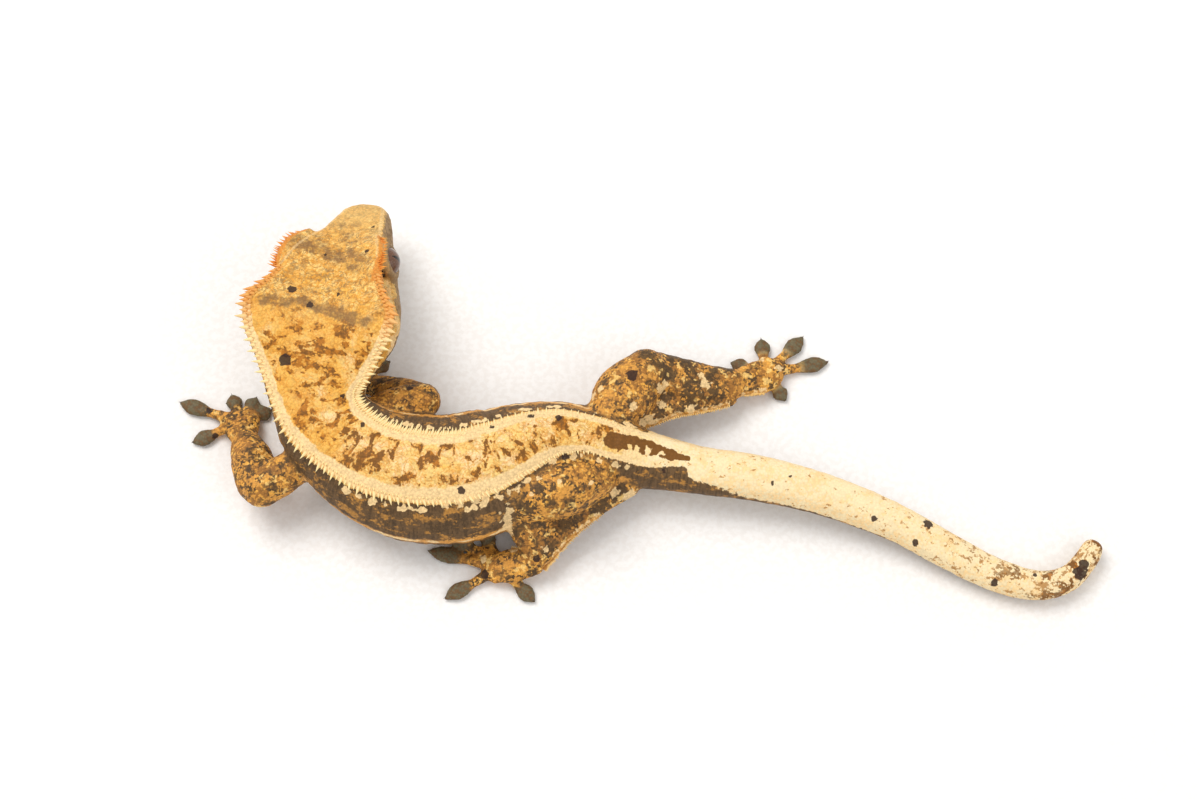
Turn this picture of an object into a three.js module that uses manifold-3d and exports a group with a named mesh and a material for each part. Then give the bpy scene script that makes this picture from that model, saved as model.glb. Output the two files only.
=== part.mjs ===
// A crested gecko at life size, lying still with its head raised and its tail out behind.
// Millimetres, +Z up, floor at z = 0. The tail runs towards +X and the head points towards +Y.
import * as THREE from "three";
import { mergeVertices } from "three/addons/utils/BufferGeometryUtils.js";
import Module from "manifold-3d";

const wasm = await Module();
wasm.setup();

// Driving sizes
const GAP = 0.3; // between two nodes that touch
const SNOUT_TO_VENT = 112;
const JAW_LENGTH = 24; // snout tip to the corner of the mouth
const HEAD_END = 34;
const NECK_END = 46;
const CHEST_END = 64;
const BELLY_END = 84;
const PELVIS_END = 114;
const TAIL_JOINTS = [137, 160, 182];
const TAIL_TIP = 203;
const BODY_RING_STEP = 2.8;
const HEAD_RING_STEP = 1.8;
const SPAN_STEPS = 2; // points between two neighbouring corners of a body section
const LIMB_SIDES = 10;
const TOE_SIDES = 6;
const SPINE_SIDES = 5;
const SPINE_SINK = 0.5; // how deep a spine's root sits in the skin
const BROW_FROM = 9.6; // the ridge over each eye
const BROW_TO = 18.6;
const BROW_WIDE = { left: 1.7, right: 1.1 }; // half width
const BROW_SHIFT = { left: 0.4, right: -1.2 }; // further out than the brow's own line
const LASH_LONG = { left: 1.3, right: 0.9 };
const LASH_STEP = 0.72;

// The midline seen from above, snout to tail tip
const MIDLINE = [
  [-51.5, 37.8], [-54.5, 23.3], [-57.2, 9.5], [-58.5, -1.4], [-58.1, -5.8], [-56.3, -9.1], [-53.1, -12.1],
  [-49.2, -14.7], [-44.7, -16.4], [-39.8, -17.3], [-32.5, -17.2], [-25.8, -14.9], [-19.6, -11.8],
  [-14.7, -10.1], [-9.2, -10], [-3.4, -11.3], [2.7, -12.8], [7.5, -13.7], [12.1, -14.6], [21.4, -15.9],
  [30.6, -17.8], [39.9, -20.6], [49.2, -24.4], [58.3, -29.4], [67.4, -34], [74.9, -35.8], [80.6, -34.4],
  [84.5, -30.6], [86.5, -27],
];

// A smooth line through [distance, value] pairs that never swings past them.
function profile(...pairs) {
  const at = pairs.map((p) => p[0]);
  const value = pairs.map((p) => p[1]);
  const last = pairs.length - 1;
  const step = at.slice(1).map((x, i) => x - at[i]);
  const rise = step.map((h, i) => (value[i + 1] - value[i]) / h);
  const slope = at.map((_, i) => {
    if (i === 0) return rise[0];
    if (i === last) return rise[last - 1];
    if (rise[i - 1] * rise[i] <= 0) return 0;
    const [a, b] = [2 * step[i] + step[i - 1], step[i] + 2 * step[i - 1]];
    return (a + b) / (a / rise[i - 1] + b / rise[i]);
  });
  return (x) => {
    if (x <= at[0]) return value[0];
    if (x >= at[last]) return value[last];
    const i = at.findLastIndex((a) => a <= x);
    return hermite(value[i], value[i + 1], slope[i] * step[i], slope[i + 1] * step[i], (x - at[i]) / step[i]);
  };
}

function hermite(a, b, slopeA, slopeB, t) {
  const [t2, t3] = [t * t, t * t * t];
  return a * (2 * t3 - 3 * t2 + 1) + slopeA * (t3 - 2 * t2 + t) + b * (3 * t2 - 2 * t3) + slopeB * (t3 - t2);
}

const smoothstep = (from, to, x) => THREE.MathUtils.smoothstep(x, from, to);
const mix = THREE.MathUtils.lerp;

// Body sections, by distance from the snout tip. Heights are above the floor, reaches are from the midline.
const crownUp = profile([0, 10.9], [1.2, 12.3], [4, 14], [8, 15.8], [12, 17.8], [17, 20], [22, 21.8], [28, 23.2],
  [34, 22.4], [40, 20.9], [46, 19.7], [54, 18.8], [76, 18.5], [88, 17.5], [99, 15.2], [108, 13.2], [116, 11.8]);
const crestOut = profile([0, 1.6], [1.2, 3.4], [4, 4.5], [8, 5.9], [11, 7.2], [14, 8.6], [18, 9.9], [22, 11.4],
  [28, 14.1], [32, 13.4], [36, 11.3], [40, 9.3], [44, 7.6], [54, 6.6], [66, 6.6], [78, 6.4], [88, 5.2], [94, 4.2],
  [100, 3.5], [114, 3.1]);
const crestUp = profile([0, 10.7], [1.2, 12], [4, 13.8], [8, 16], [11, 18.6], [14, 20.2], [18, 21.4], [22, 22.6],
  [28, 25], [32, 24.2], [38, 20.8], [46, 18.6], [58, 17.2], [76, 16.8], [88, 16], [99, 14.2], [108, 12.6], [116, 11.2]);
const flankOut = profile([0, 1.8], [1.2, 3.8], [4, 5.3], [8, 6.8], [12, 8.6], [17, 10.6], [22, 12.4], [26, 13.1],
  [29, 12.8], [33, 11], [38, 8.6], [42, 8], [48, 8.8], [56, 10.2], [66, 12], [76, 12.2], [86, 10.1], [94, 7.6],
  [101, 6.6], [108, 5.8], [116, 5]);
const flankUp = profile([0, 10], [8, 11.2], [20, 13], [28, 13.6], [36, 13], [44, 11.4], [54, 9], [68, 7.8], [88, 7.6],
  [104, 7.4], [116, 6.8]);
const sideBulge = profile([0, 0.1], [6, 0.2], [9, -0.4], [14, -2.2], [19, -1.4], [26, -2], [32, -1.4], [38, -0.3],
  [46, 1], [58, 1.8], [78, 1.8], [94, 1.2], [108, 0.6], [116, 0.5]);
const underOut = profile([0, 1], [1.2, 2.2], [4, 3.2], [8, 4.2], [17, 6], [26, 8], [33, 7], [40, 5.2], [48, 6],
  [58, 7.6], [74, 9], [86, 7.6], [98, 5], [108, 4], [116, 3.5]);
const underUp = profile([0, 9.3], [4, 8.4], [8, 8], [17, 7.6], [26, 7.4], [36, 6.6], [42, 5.2], [50, 3], [58, 1.4],
  [66, 0.8], [88, 0.8], [100, 1.4], [116, 2.2]);
const keelUp = profile([0, 9.1], [1.2, 8.3], [4, 7.6], [8, 7.2], [17, 6.7], [26, 6.4], [36, 5.4], [42, 4], [50, 1.8],
  [56, 0.1], [60, -0.3], [88, -0.3], [98, 0.4], [116, 1.5]);
const rollAngle = profile([0, 13], [8, 16], [15, 16], [27, 7.5], [46, 3], [90, 3], [112, 0]); // degrees, right side up
const tailRadius = profile([114, 4.9], [121, 4.5], [130, 4.4], [140, 4.1], [150, 3.8], [160, 3.5], [172, 3.3],
  [182, 3.05], [190, 2.65], [196, 2.35], [200, 2.2], [202, 1.8], [203, 0.9]);
const tailUnder = profile([114, 1.6], [122, 2], [134, 2], [150, 1.3], [165, 0.4], [176, -0.2], [198, -0.2], [203, 0.8]);
const mouthUp = profile([-3, 9.8], [0, 9.8], [6, 9.9], [13, 10.1], [19, 11.2], [JAW_LENGTH, 12.6]);
const ROLL_HEIGHT = 15;

// The midline as a curve by distance from the snout tip.
const stretch = MIDLINE.map((p, i) => (i ? Math.hypot(p[0] - MIDLINE[i - 1][0], p[1] - MIDLINE[i - 1][1]) : 0));
const distance = stretch.map((_, i) => stretch.slice(0, i + 1).reduce((a, b) => a + b));

function midline(s) {
  const last = MIDLINE.length - 1;
  const i = Math.min(last - 1, Math.max(0, distance.findLastIndex((d) => d <= s)));
  const slope = (k, c) => {
    const [a, b] = [Math.max(0, k - 1), Math.min(last, k + 1)];
    return (MIDLINE[b][c] - MIDLINE[a][c]) / (distance[b] - distance[a]);
  };
  const span = distance[i + 1] - distance[i];
  const t = (s - distance[i]) / span;
  const [x, y] = [0, 1].map((c) => hermite(MIDLINE[i][c], MIDLINE[i + 1][c], slope(i, c) * span, slope(i + 1, c) * span, t));
  return new THREE.Vector2(x, y);
}

// The upright frame of a body section: where it is, and which way forward, right and up are.
function sectionFrame(s) {
  const ahead = midline(s - 0.2);
  const behind = midline(s + 0.2);
  const forward = new THREE.Vector3(ahead.x - behind.x, ahead.y - behind.y, 0).normalize();
  const roll = THREE.MathUtils.degToRad(rollAngle(s));
  const level = new THREE.Vector3(forward.y, -forward.x, 0);
  const right = level.clone().multiplyScalar(Math.cos(roll)).add(new THREE.Vector3(0, 0, Math.sin(roll)));
  const up = new THREE.Vector3().crossVectors(right, forward);
  const here = midline(s);
  return { origin: new THREE.Vector3(here.x, here.y, ROLL_HEIGHT), forward, right, up };
}

// A place on or near the body: distance from the snout tip, reach to the right, height above the floor.
function bodyPlace(s, out, height) {
  const f = sectionFrame(s);
  return f.origin.clone().addScaledVector(f.right, out).addScaledVector(f.up, height - ROLL_HEIGHT);
}

// The right half of a section's corners, from the middle of the back down to the middle of the belly.
function sectionCorners(s) {
  const crest = [crestOut(s), crestUp(s)];
  const flank = [flankOut(s), flankUp(s)];
  const side = [(crest[0] + flank[0]) / 2 + sideBulge(s), (crest[1] + flank[1]) / 2];
  const body = [[0, crownUp(s)], crest, side, flank, [underOut(s), underUp(s)], [0, keelUp(s)]];
  const round = smoothstep(SNOUT_TO_VENT - 6, SNOUT_TO_VENT + 10, s);
  if (round === 0) return body;
  const [r, middle] = [tailRadius(s), tailUnder(s) + tailRadius(s)];
  return body.map((corner, i) => {
    const angle = [0, 40, 65, 92, 137, 180].map(THREE.MathUtils.degToRad)[i];
    return [mix(corner[0], r * Math.sin(angle), round), mix(corner[1], middle + r * Math.cos(angle), round)];
  });
}

// One closed ring of a body section, in space.
function bodyRing(s, grow = 0) {
  const right = sectionCorners(s);
  const left = right.slice(1, -1).reverse().map(([out, up]) => [-out, up]);
  const corners = [...right, ...left];
  const n = corners.length;
  const heights = right.map((c) => c[1]);
  const centre = (Math.max(...heights) + Math.min(...heights)) / 2;
  const ring = [];
  for (let i = 0; i < n; i++) {
    const [a, b, c, d] = [-1, 0, 1, 2].map((k) => corners[(i + k + n) % n]);
    for (let k = 0; k < SPAN_STEPS; k++) {
      const t = k / SPAN_STEPS;
      const [out, up] = [0, 1].map((j) => hermite(b[j], c[j], (c[j] - a[j]) / 2, (d[j] - b[j]) / 2, t));
      const away = Math.hypot(out, up - centre) || 1;
      ring.push(bodyPlace(s, out * (1 + grow / away), centre + (up - centre) * (1 + grow / away)));
    }
  }
  return ring;
}

// Closed meshes and solids

// A closed mesh through rings of equal length, capped flat at both ends.
function loft(rings) {
  const sides = rings[0].length;
  const points = rings.flat();
  const faces = [];
  for (let r = 0; r + 1 < rings.length; r++) {
    for (let k = 0; k < sides; k++) {
      const [a, b] = [r * sides + k, r * sides + ((k + 1) % sides)];
      faces.push(a, a + sides, b, b, a + sides, b + sides);
    }
  }
  for (const [ring, turn] of [[0, 1], [rings.length - 1, -1]]) {
    const middle = points.length;
    points.push(rings[ring].reduce((sum, p) => sum.add(p), new THREE.Vector3()).divideScalar(sides));
    for (let k = 0; k < sides; k++) {
      const pair = [ring * sides + k, ring * sides + ((k + 1) % sides)];
      faces.push(middle, ...(turn > 0 ? pair : pair.reverse()));
    }
  }
  const geometry = new THREE.BufferGeometry().setFromPoints(points);
  geometry.setIndex(faces);
  return geometry;
}

function solid(geometry) {
  const plain = geometry.clone();
  plain.deleteAttribute("normal");
  plain.deleteAttribute("uv");
  const merged = mergeVertices(plain, 1e-4);
  const build = (triVerts) =>
    new wasm.Manifold(new wasm.Mesh({ numProp: 3, vertProperties: merged.attributes.position.array, triVerts }));
  const faces = new Uint32Array(merged.index.array);
  const made = build(faces);
  return made.volume() > 0 ? made : build(faces.reverse());
}

// Only the largest closed body of a solid.
function largest(shape) {
  return shape.decompose().reduce((best, one) => (one.volume() > best.volume() ? one : best));
}

const room = (size, x, y, z) => solid(new THREE.BoxGeometry(...size).translate(x, y, z));
const aboveFloor = room([400, 400, 100], 0, 0, 50);

// Body lengths
function bodyLength(from, to, grow = 0) {
  const step = from < HEAD_END ? HEAD_RING_STEP : BODY_RING_STEP;
  const count = Math.max(2, Math.round((to - from) / step));
  const rings = Array.from({ length: count + 1 }, (_, i) => bodyRing(from + ((to - from) * i) / count, grow));
  return solid(loft(rings));
}

// Limbs

// A tapered limb through stations [x, y, z, half width seen from above, half thickness], round at both ends.
function limb(stations, { grow = 0, sides = LIMB_SIDES, steps = 2 } = {}) {
  const last = stations.length - 1;
  const read = (t, c) => {
    const i = Math.min(last - 1, Math.floor(t));
    const [a, b, d, e] = [i - 1, i, i + 1, i + 2].map((k) => stations[Math.min(last, Math.max(0, k))][c]);
    return hermite(b, d, (d - a) / 2, (e - b) / 2, t - i);
  };
  const centre = (t) => new THREE.Vector3(read(t, 0), read(t, 1), read(t, 2));
  const ends = [0, last].map((t) => centre(t));
  const tips = [0, last].map((t) => [read(t, 3) + grow, read(t, 4) + grow]);
  const heading = (t) => centre(Math.min(last, t + 0.05)).sub(centre(Math.max(0, t - 0.05))).normalize();
  const ring = (at, way, wide, thick) => {
    const side = new THREE.Vector3().crossVectors(way, new THREE.Vector3(0, 0, 1)).normalize();
    const up = new THREE.Vector3().crossVectors(side, way);
    return Array.from({ length: sides }, (_, k) => {
      const angle = (2 * Math.PI * (k + 0.5)) / sides;
      return at.clone().addScaledVector(side, wide * Math.cos(angle)).addScaledVector(up, thick * Math.sin(angle));
    });
  };
  const rings = [];
  const dome = (end, way, [wide, thick], sign) =>
    [0.94, 0.7].map((lean) => {
      const share = Math.sqrt(1 - lean * lean);
      const at = end.clone().addScaledVector(way, sign * lean * Math.min(wide, thick));
      return ring(at, way, wide * share, thick * share);
    });
  rings.push(...dome(ends[0], heading(0), tips[0], -1));
  for (let k = 0; k <= last * steps; k++) {
    const t = k / steps;
    rings.push(ring(centre(t), heading(t), read(t, 3) + grow, read(t, 4) + grow));
  }
  rings.push(...dome(ends[1], heading(last), tips[1], 1).reverse());
  return solid(loft(rings));
}

// Stations of one toe from the middle of the foot: a narrow base, a broad leaf-shaped pad and a small claw.
const TOE_BASE = 1.15;
const PAD_HALF_WIDTH = 1.75;
const TOE_THICK = 0.95;
function toeStations([x0, y0, z0], [x1, y1], size = 1) {
  const shape = [
    [0, TOE_BASE, 1.1], [0.3, TOE_BASE, 1], [0.5, 0.95, 0.9], [0.64, 1.55, 0.8], [0.78, PAD_HALF_WIDTH, 0.75],
    [0.9, 1.2, 0.65], [1, 0.4, 0.5],
  ];
  return shape.map(([t, wide, thick]) => {
    const level = TOE_THICK * thick * size - 0.15;
    return [mix(x0, x1, t), mix(y0, y1, t), mix(z0, level, smoothstep(0, 0.5, t)), wide * size, TOE_THICK * thick * size];
  });
}

const LEGS = {
  front_left: {
    parts: {
      upper_arm: [[-60.6, -13.2, 9.4, 3.2, 3.4], [-65.3, -16.4, 9.4, 3.7, 3.6], [-69.3, -18.8, 8.9, 3.7, 3.6]],
      forearm: [[-70, -17.6, 8.2, 4.1, 3.4], [-71.4, -12.8, 6.6, 4.1, 3], [-73.2, -8.2, 3.9, 2.9, 2.2]],
      hand: [[-73.7, -6.8, 3.2, 2.7, 1.8], [-74.3, -4.4, 2.2, 3.7, 1.6], [-74.9, -2.8, 1.8, 3.4, 1.4]],
    },
    palm: [-74.8, -3.2, 1.9],
    toes: [[-69, -0.4], [-71.9, 2], [-76.6, 2.6], [-86.4, 1.1], [-83.6, -7]],
  },
  front_right: {
    parts: {
      upper_arm: [[-50.4, -5.6, 9.4, 3.2, 3.4], [-45, -3, 9.4, 3.6, 3.4], [-39.4, -1.6, 8.8, 3.3, 3.2]],
      forearm: [[-39.4, -0.8, 7.4, 3, 3], [-43.6, 1.1, 5.8, 2.9, 2.6], [-48.6, 3.2, 3.6, 2.3, 2]],
      hand: [[-49.8, 3.8, 2.9, 2.2, 1.7], [-51.6, 5.2, 2.1, 2.8, 1.5], [-53, 6.4, 1.7, 2.6, 1.3]],
    },
    palm: [-52.3, 5.8, 1.8],
    toes: [[-58.6, 5.4], [-59, 10.8], [-55, 14.4], [-50.4, 14], [-46.8, 9.4]],
  },
  hind_right: {
    parts: {
      thigh: [[-4.8, -5.2, 9, 4.4, 4.6], [-1.8, -0.4, 9, 5.8, 4.6], [2.6, 4.4, 8.4, 4.6, 4.2]],
      shank: [[4.4, 4.6, 7.2, 4, 3.8], [11.4, 2.8, 6, 4.5, 3.2], [19, 3.6, 4, 3, 2.3]],
      foot: [[20, 4, 3.2, 2.8, 1.9], [23.6, 5.4, 2.3, 3.5, 1.7], [26.9, 7.4, 1.8, 2.9, 1.4]],
    },
    web: [[0.6, -4.4, 6, 2.4, 2.2], [6.6, -0.6, 5.8, 3.6, 2.2], [12.6, 0.6, 5, 3.4, 2], [18, 1.2, 4, 2.2, 1.6]],
    palm: [25.2, 6.6, 1.9],
    toes: [[18.8, 9.2], [24.6, 14], [32.6, 14.4], [37.2, 9.4], [29, 1.6]],
  },
  hind_left: {
    parts: {
      thigh: [[-7, -17, 9.4, 3.8, 4.6], [-13.2, -19.2, 10.6, 5.6, 5.2], [-20, -21, 10, 5, 4.8]],
      shank: [[-20, -22.6, 7.6, 4.2, 3.8], [-18.8, -26.2, 5.8, 4.2, 3.1], [-17.4, -30.2, 3.8, 2.8, 2.3]],
      foot: [[-18.4, -31.2, 3.1, 2.7, 1.8], [-22.6, -31.8, 2.2, 3.3, 1.6], [-26.4, -32.2, 1.8, 3, 1.4]],
    },
    web: [[-1, -17.6, 6, 2, 2.2], [-8, -20.4, 5.8, 3.4, 2.2], [-13.4, -24.8, 5.2, 3.4, 2], [-15.6, -28.8, 4, 2.2, 1.6]],
    palm: [-24.8, -31.9, 1.9],
    toes: [[-28.4, -24], [-35.2, -24.4], [-38.4, -28.4], [-35.2, -37.6], [-18.7, -38.2]],
  },
};

// Head pieces
const EYE = { at: 14, out: 7.9, up: 15.9, radius: 3.3, lid: 2.9, lidTube: 0.55, forward: 14, tilt: 4 };
const EYE_LIFT = Math.sqrt(EYE.radius ** 2 - EYE.lid ** 2) + 0.1; // from the eye's centre to its rim
const NOSTRIL = { at: 1.9, out: 3.3, up: 12, radius: 0.45 };
const EAR = { at: 28.4, out: 12.6, up: 15.6, size: [0.7, 1.1, 1.5] };

// The way an eye looks: sideways, turned forward and up.
function eyeAxis(side) {
  const f = sectionFrame(EYE.at);
  const [forward, tilt] = [EYE.forward, EYE.tilt].map((d) => Math.sin(THREE.MathUtils.degToRad(d)));
  return f.right.clone().multiplyScalar(side).addScaledVector(f.forward, forward).addScaledVector(f.up, tilt).normalize();
}

function eyeball(side, grow = 0) {
  const centre = bodyPlace(EYE.at, side * EYE.out, EYE.up);
  return solid(new THREE.SphereGeometry(EYE.radius + grow, 14, 9).translate(centre.x, centre.y, centre.z));
}

function eyeRim(side) {
  const axis = eyeAxis(side);
  const centre = bodyPlace(EYE.at, side * EYE.out, EYE.up);
  const turn = new THREE.Quaternion().setFromUnitVectors(new THREE.Vector3(0, 0, 1), axis);
  const ring = new THREE.TorusGeometry(EYE.lid, EYE.lidTube, 5, 14).applyQuaternion(turn);
  centre.addScaledVector(axis, EYE_LIFT);
  return solid(ring.translate(centre.x, centre.y, centre.z));
}

function dimple(spot, side, size) {
  const at = bodyPlace(spot.at, side * spot.out, spot.up);
  const f = sectionFrame(spot.at);
  const turn = new THREE.Matrix4().makeBasis(f.right, f.forward, f.up);
  const ball = new THREE.SphereGeometry(1, 6, 4).scale(...size).applyMatrix4(turn);
  return solid(ball.translate(at.x, at.y, at.z));
}

// Spines of the crest and of the brows

// How far a spine stands out, how wide its root is and how far the next one is, by distance from the snout tip.
const spineLength = profile([19, 0.6], [23, 1.3], [28, 1.8], [32, 1.5], [38, 1.4], [50, 1.6], [62, 1.5], [76, 1],
  [90, 0.7], [104, 0.5]);
const spineRoot = profile([19, 0.5], [28, 0.72], [38, 0.5], [62, 0.46], [90, 0.36], [104, 0.3]);
const spineStep = profile([19, 1.5], [28, 1.9], [38, 1.35], [62, 1.3], [104, 1.2]);
const CREST_START = 19;
const CREST_END = 104;

// A repeatable run of numbers between 0 and 1.
function chanceFrom(seed) {
  let state = seed;
  return () => {
    state = (state * 16807) % 2147483647;
    return state / 2147483647;
  };
}

function spine(root, way, length, radius) {
  const cone = new THREE.ConeGeometry(radius, length + SPINE_SINK, SPINE_SIDES);
  cone.translate(0, (length + SPINE_SINK) / 2 - SPINE_SINK, 0);
  cone.applyQuaternion(new THREE.Quaternion().setFromUnitVectors(new THREE.Vector3(0, 1, 0), way));
  return solid(cone.translate(root.x, root.y, root.z));
}

// The crest's spines between two distances, each kept clear of both ends.
function crestSpines(from, to) {
  const made = [];
  for (const side of [-1, 1]) {
    const chance = chanceFrom(side > 0 ? 4127 : 9311);
    for (let s = CREST_START; s < CREST_END; s += spineStep(s) * (0.88 + 0.24 * chance())) {
      const [size, lean] = [0.8 + 0.4 * chance(), 0.1 + 0.35 * chance()];
      if (s < from + 0.6 || s > to - 1.1) continue;
      const f = sectionFrame(s);
      const way = f.right.clone().multiplyScalar(side).addScaledVector(f.up, 0.4).addScaledVector(f.forward, -lean);
      const root = bodyPlace(s, side * crestOut(s), crestUp(s));
      made.push(spine(root, way.normalize(), spineLength(s) * size, spineRoot(s)));
    }
  }
  return made;
}

// The ridge over an eye, and the short spines along its edge
const browOut = profile([BROW_FROM, 7.2], [11.5, 8.6], [15, 9.5], [BROW_TO, 9.5]);
const browUp = profile([BROW_FROM, 17.2], [11.5, 18.7], [15, 20], [BROW_TO, 20.8]);
const hand = (side) => (side > 0 ? "right" : "left");
const browPlace = (s, side, reach = 0) => {
  return bodyPlace(s, side * (browOut(s) + BROW_SHIFT[hand(side)] + reach), browUp(s));
};

function brow(side) {
  const spots = [BROW_FROM, 12.6, 15.6, BROW_TO];
  const wide = BROW_WIDE[hand(side)];
  return limb(spots.map((s, i) => [...browPlace(s, side), wide * [0.7, 1, 1.05, 0.7][i], 0.8]), { sides: 8, steps: 1 });
}

function browSpines(side) {
  const chance = chanceFrom(side > 0 ? 733 : 2861);
  const count = Math.round((BROW_TO - BROW_FROM) / LASH_STEP) + 1;
  return Array.from({ length: count }, (_, i) => {
    const s = BROW_FROM + LASH_STEP * i;
    const f = sectionFrame(s);
    const way = f.right.clone().multiplyScalar(side).addScaledVector(f.up, 0.5);
    way.addScaledVector(f.forward, 0.5 * chance() - 0.1).normalize();
    return spine(browPlace(s, side, 0.7 * BROW_WIDE[hand(side)]), way, LASH_LONG[hand(side)] + 0.5 * chance(), 0.32);
  });
}

// The space of the lower jaw: everything below the mouth line, from the snout to the mouth's corner.
function jawSpace(offset, end) {
  const from = -2;
  const count = 9;
  const rings = Array.from({ length: count + 1 }, (_, i) => {
    const s = from + ((end - from) * i) / count;
    const top = mouthUp(s) + offset;
    return [[-20, top], [20, top], [20, 2], [-20, 2]].map(([out, up]) => bodyPlace(s, out, up));
  });
  return solid(loft(rings));
}

// All nodes, each a solid
const nodes = {};
const MATERIALS = {
  skin_pattern: { color: 0xe2b478, roughness: 0.75 },
  skin_dark: { color: 0x5f4b35, roughness: 0.75 },
  skin_pale: { color: 0xf0d6a4, roughness: 0.75 },
  toe_pad: { color: 0x6f6a50, roughness: 0.8 },
  eye: { color: 0x6b5348, roughness: 0.12 },
};
const finish = {};

function keep(name, shape, material) {
  nodes[name] = largest(shape.intersect(aboveFloor));
  finish[name] = material;
}

const sides = { left: -1, right: 1 };

// Torso, neck and tail, with pockets for the roots of the legs
const half = GAP / 2;
const roots = Object.values(LEGS).map(({ parts }) => limb(Object.values(parts)[0], { grow: GAP }));
const lengths = [
  ["neck", HEAD_END, NECK_END, "skin_pattern"],
  ["chest", NECK_END, CHEST_END, "skin_pattern"],
  ["belly", CHEST_END, BELLY_END, "skin_pattern"],
  ["pelvis", BELLY_END, PELVIS_END, "skin_pattern"],
  ["tail_root", PELVIS_END, TAIL_JOINTS[0], "skin_pale"],
  ["tail_middle", TAIL_JOINTS[0], TAIL_JOINTS[1], "skin_pale"],
  ["tail_end", TAIL_JOINTS[1], TAIL_JOINTS[2], "skin_pale"],
];
for (const [name, from, to, material] of lengths) {
  let piece = bodyLength(from + half, to - half);
  for (const root of roots) piece = piece.subtract(root);
  for (const one of crestSpines(from, to)) piece = piece.add(one);
  keep(name, piece, material);
}
keep("tail_tip", bodyLength(TAIL_JOINTS[2] + half, TAIL_TIP), "skin_pale");

// Head, lower jaw and eyes
let head = bodyLength(0, HEAD_END - half);
for (const side of Object.values(sides)) {
  head = head.add(eyeRim(side)).add(brow(side));
  for (const one of browSpines(side)) head = head.add(one);
}
for (const one of crestSpines(0, HEAD_END)) head = head.add(one);
for (const [name, side] of Object.entries(sides)) {
  head = head.subtract(eyeball(side, GAP)).subtract(dimple(NOSTRIL, side, Array(3).fill(NOSTRIL.radius)));
  head = head.subtract(dimple(EAR, side, EAR.size));
  keep("eye_" + name, eyeball(side), "eye");
}
keep("lower_jaw", head.intersect(jawSpace(-half, JAW_LENGTH - half)), "skin_pattern");
keep("head", head.subtract(jawSpace(half, JAW_LENGTH + half)), "skin_pattern");

// Legs: each lower piece is cut clear of the body and of the pieces and toes beside it.
const trunk = bodyLength(HEAD_END - 4, PELVIS_END + 8, GAP);
for (const [leg, { parts, web, palm, toes }] of Object.entries(LEGS)) {
  let clear = [];
  for (const [name, stations] of Object.entries(parts)) {
    const withWeb = name === "shank";
    let piece = withWeb ? limb(stations).add(limb(web)) : limb(stations);
    for (const other of clear) piece = piece.subtract(other);
    keep(leg + "_" + name, piece, "skin_dark");
    clear = [...clear, limb(stations, { grow: GAP })];
    if (clear.length === 1) clear.push(trunk);
    if (withWeb) clear.push(limb(web, { grow: GAP }));
  }
  toes.forEach((tip, i) => {
    const stations = toeStations(palm, tip);
    let piece = limb(stations, { sides: TOE_SIDES, steps: 1 });
    for (const other of clear) piece = piece.subtract(other);
    keep(leg + "_toe_" + (i + 1), piece, "toe_pad");
    clear = [...clear, limb(stations, { sides: TOE_SIDES, steps: 1, grow: GAP })];
  });
}

// The scene graph
const gecko = new THREE.Group();
for (const [name, shape] of Object.entries(nodes)) {
  const { vertProperties, triVerts } = shape.getMesh();
  const geometry = new THREE.BufferGeometry();
  geometry.setAttribute("position", new THREE.BufferAttribute(vertProperties, 3));
  geometry.setIndex(new THREE.BufferAttribute(triVerts, 1));
  geometry.computeVertexNormals();
  const mesh = new THREE.Mesh(geometry, new THREE.MeshStandardMaterial(MATERIALS[finish[name]]));
  mesh.name = name;
  gecko.add(mesh);
}

export default gecko;
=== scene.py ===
"""A crested gecko at life size: its skin, crest, eyes and claws, with the camera, floor and light."""

import math

import bpy
import numpy as np
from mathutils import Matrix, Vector, noise
from mathutils.kdtree import KDTree


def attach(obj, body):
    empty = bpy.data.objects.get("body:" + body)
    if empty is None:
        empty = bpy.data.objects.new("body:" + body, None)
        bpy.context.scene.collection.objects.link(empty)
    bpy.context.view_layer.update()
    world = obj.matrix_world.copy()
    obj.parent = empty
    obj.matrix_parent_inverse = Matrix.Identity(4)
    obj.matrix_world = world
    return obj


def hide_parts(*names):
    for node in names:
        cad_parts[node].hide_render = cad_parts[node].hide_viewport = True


MM = 0.001

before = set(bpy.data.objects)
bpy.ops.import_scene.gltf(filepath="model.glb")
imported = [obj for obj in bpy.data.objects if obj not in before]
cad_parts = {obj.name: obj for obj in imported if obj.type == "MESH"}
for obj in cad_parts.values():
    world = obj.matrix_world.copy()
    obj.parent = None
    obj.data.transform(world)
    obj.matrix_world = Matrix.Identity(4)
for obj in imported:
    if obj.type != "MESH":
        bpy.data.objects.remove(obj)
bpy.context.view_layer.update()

# Sizes of the body, in millimetres. Distances are along the midline from the tip of the snout.

SNOUT_TO_VENT = 112
TAIL_TIP = 203
ROLL_HEIGHT = 15
MIDLINE = np.array([
    [-51.5, 37.8], [-54.5, 23.3], [-57.2, 9.5], [-58.5, -1.4], [-58.1, -5.8], [-56.3, -9.1], [-53.1, -12.1],
    [-49.2, -14.7], [-44.7, -16.4], [-39.8, -17.3], [-32.5, -17.2], [-25.8, -14.9], [-19.6, -11.8],
    [-14.7, -10.1], [-9.2, -10], [-3.4, -11.3], [2.7, -12.8], [7.5, -13.7], [12.1, -14.6], [21.4, -15.9],
    [30.6, -17.8], [39.9, -20.6], [49.2, -24.4], [58.3, -29.4], [67.4, -34], [74.9, -35.8], [80.6, -34.4],
    [84.5, -30.6], [86.5, -27],
])


def unit(v):
    return np.asarray(v) / np.linalg.norm(v)


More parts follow.
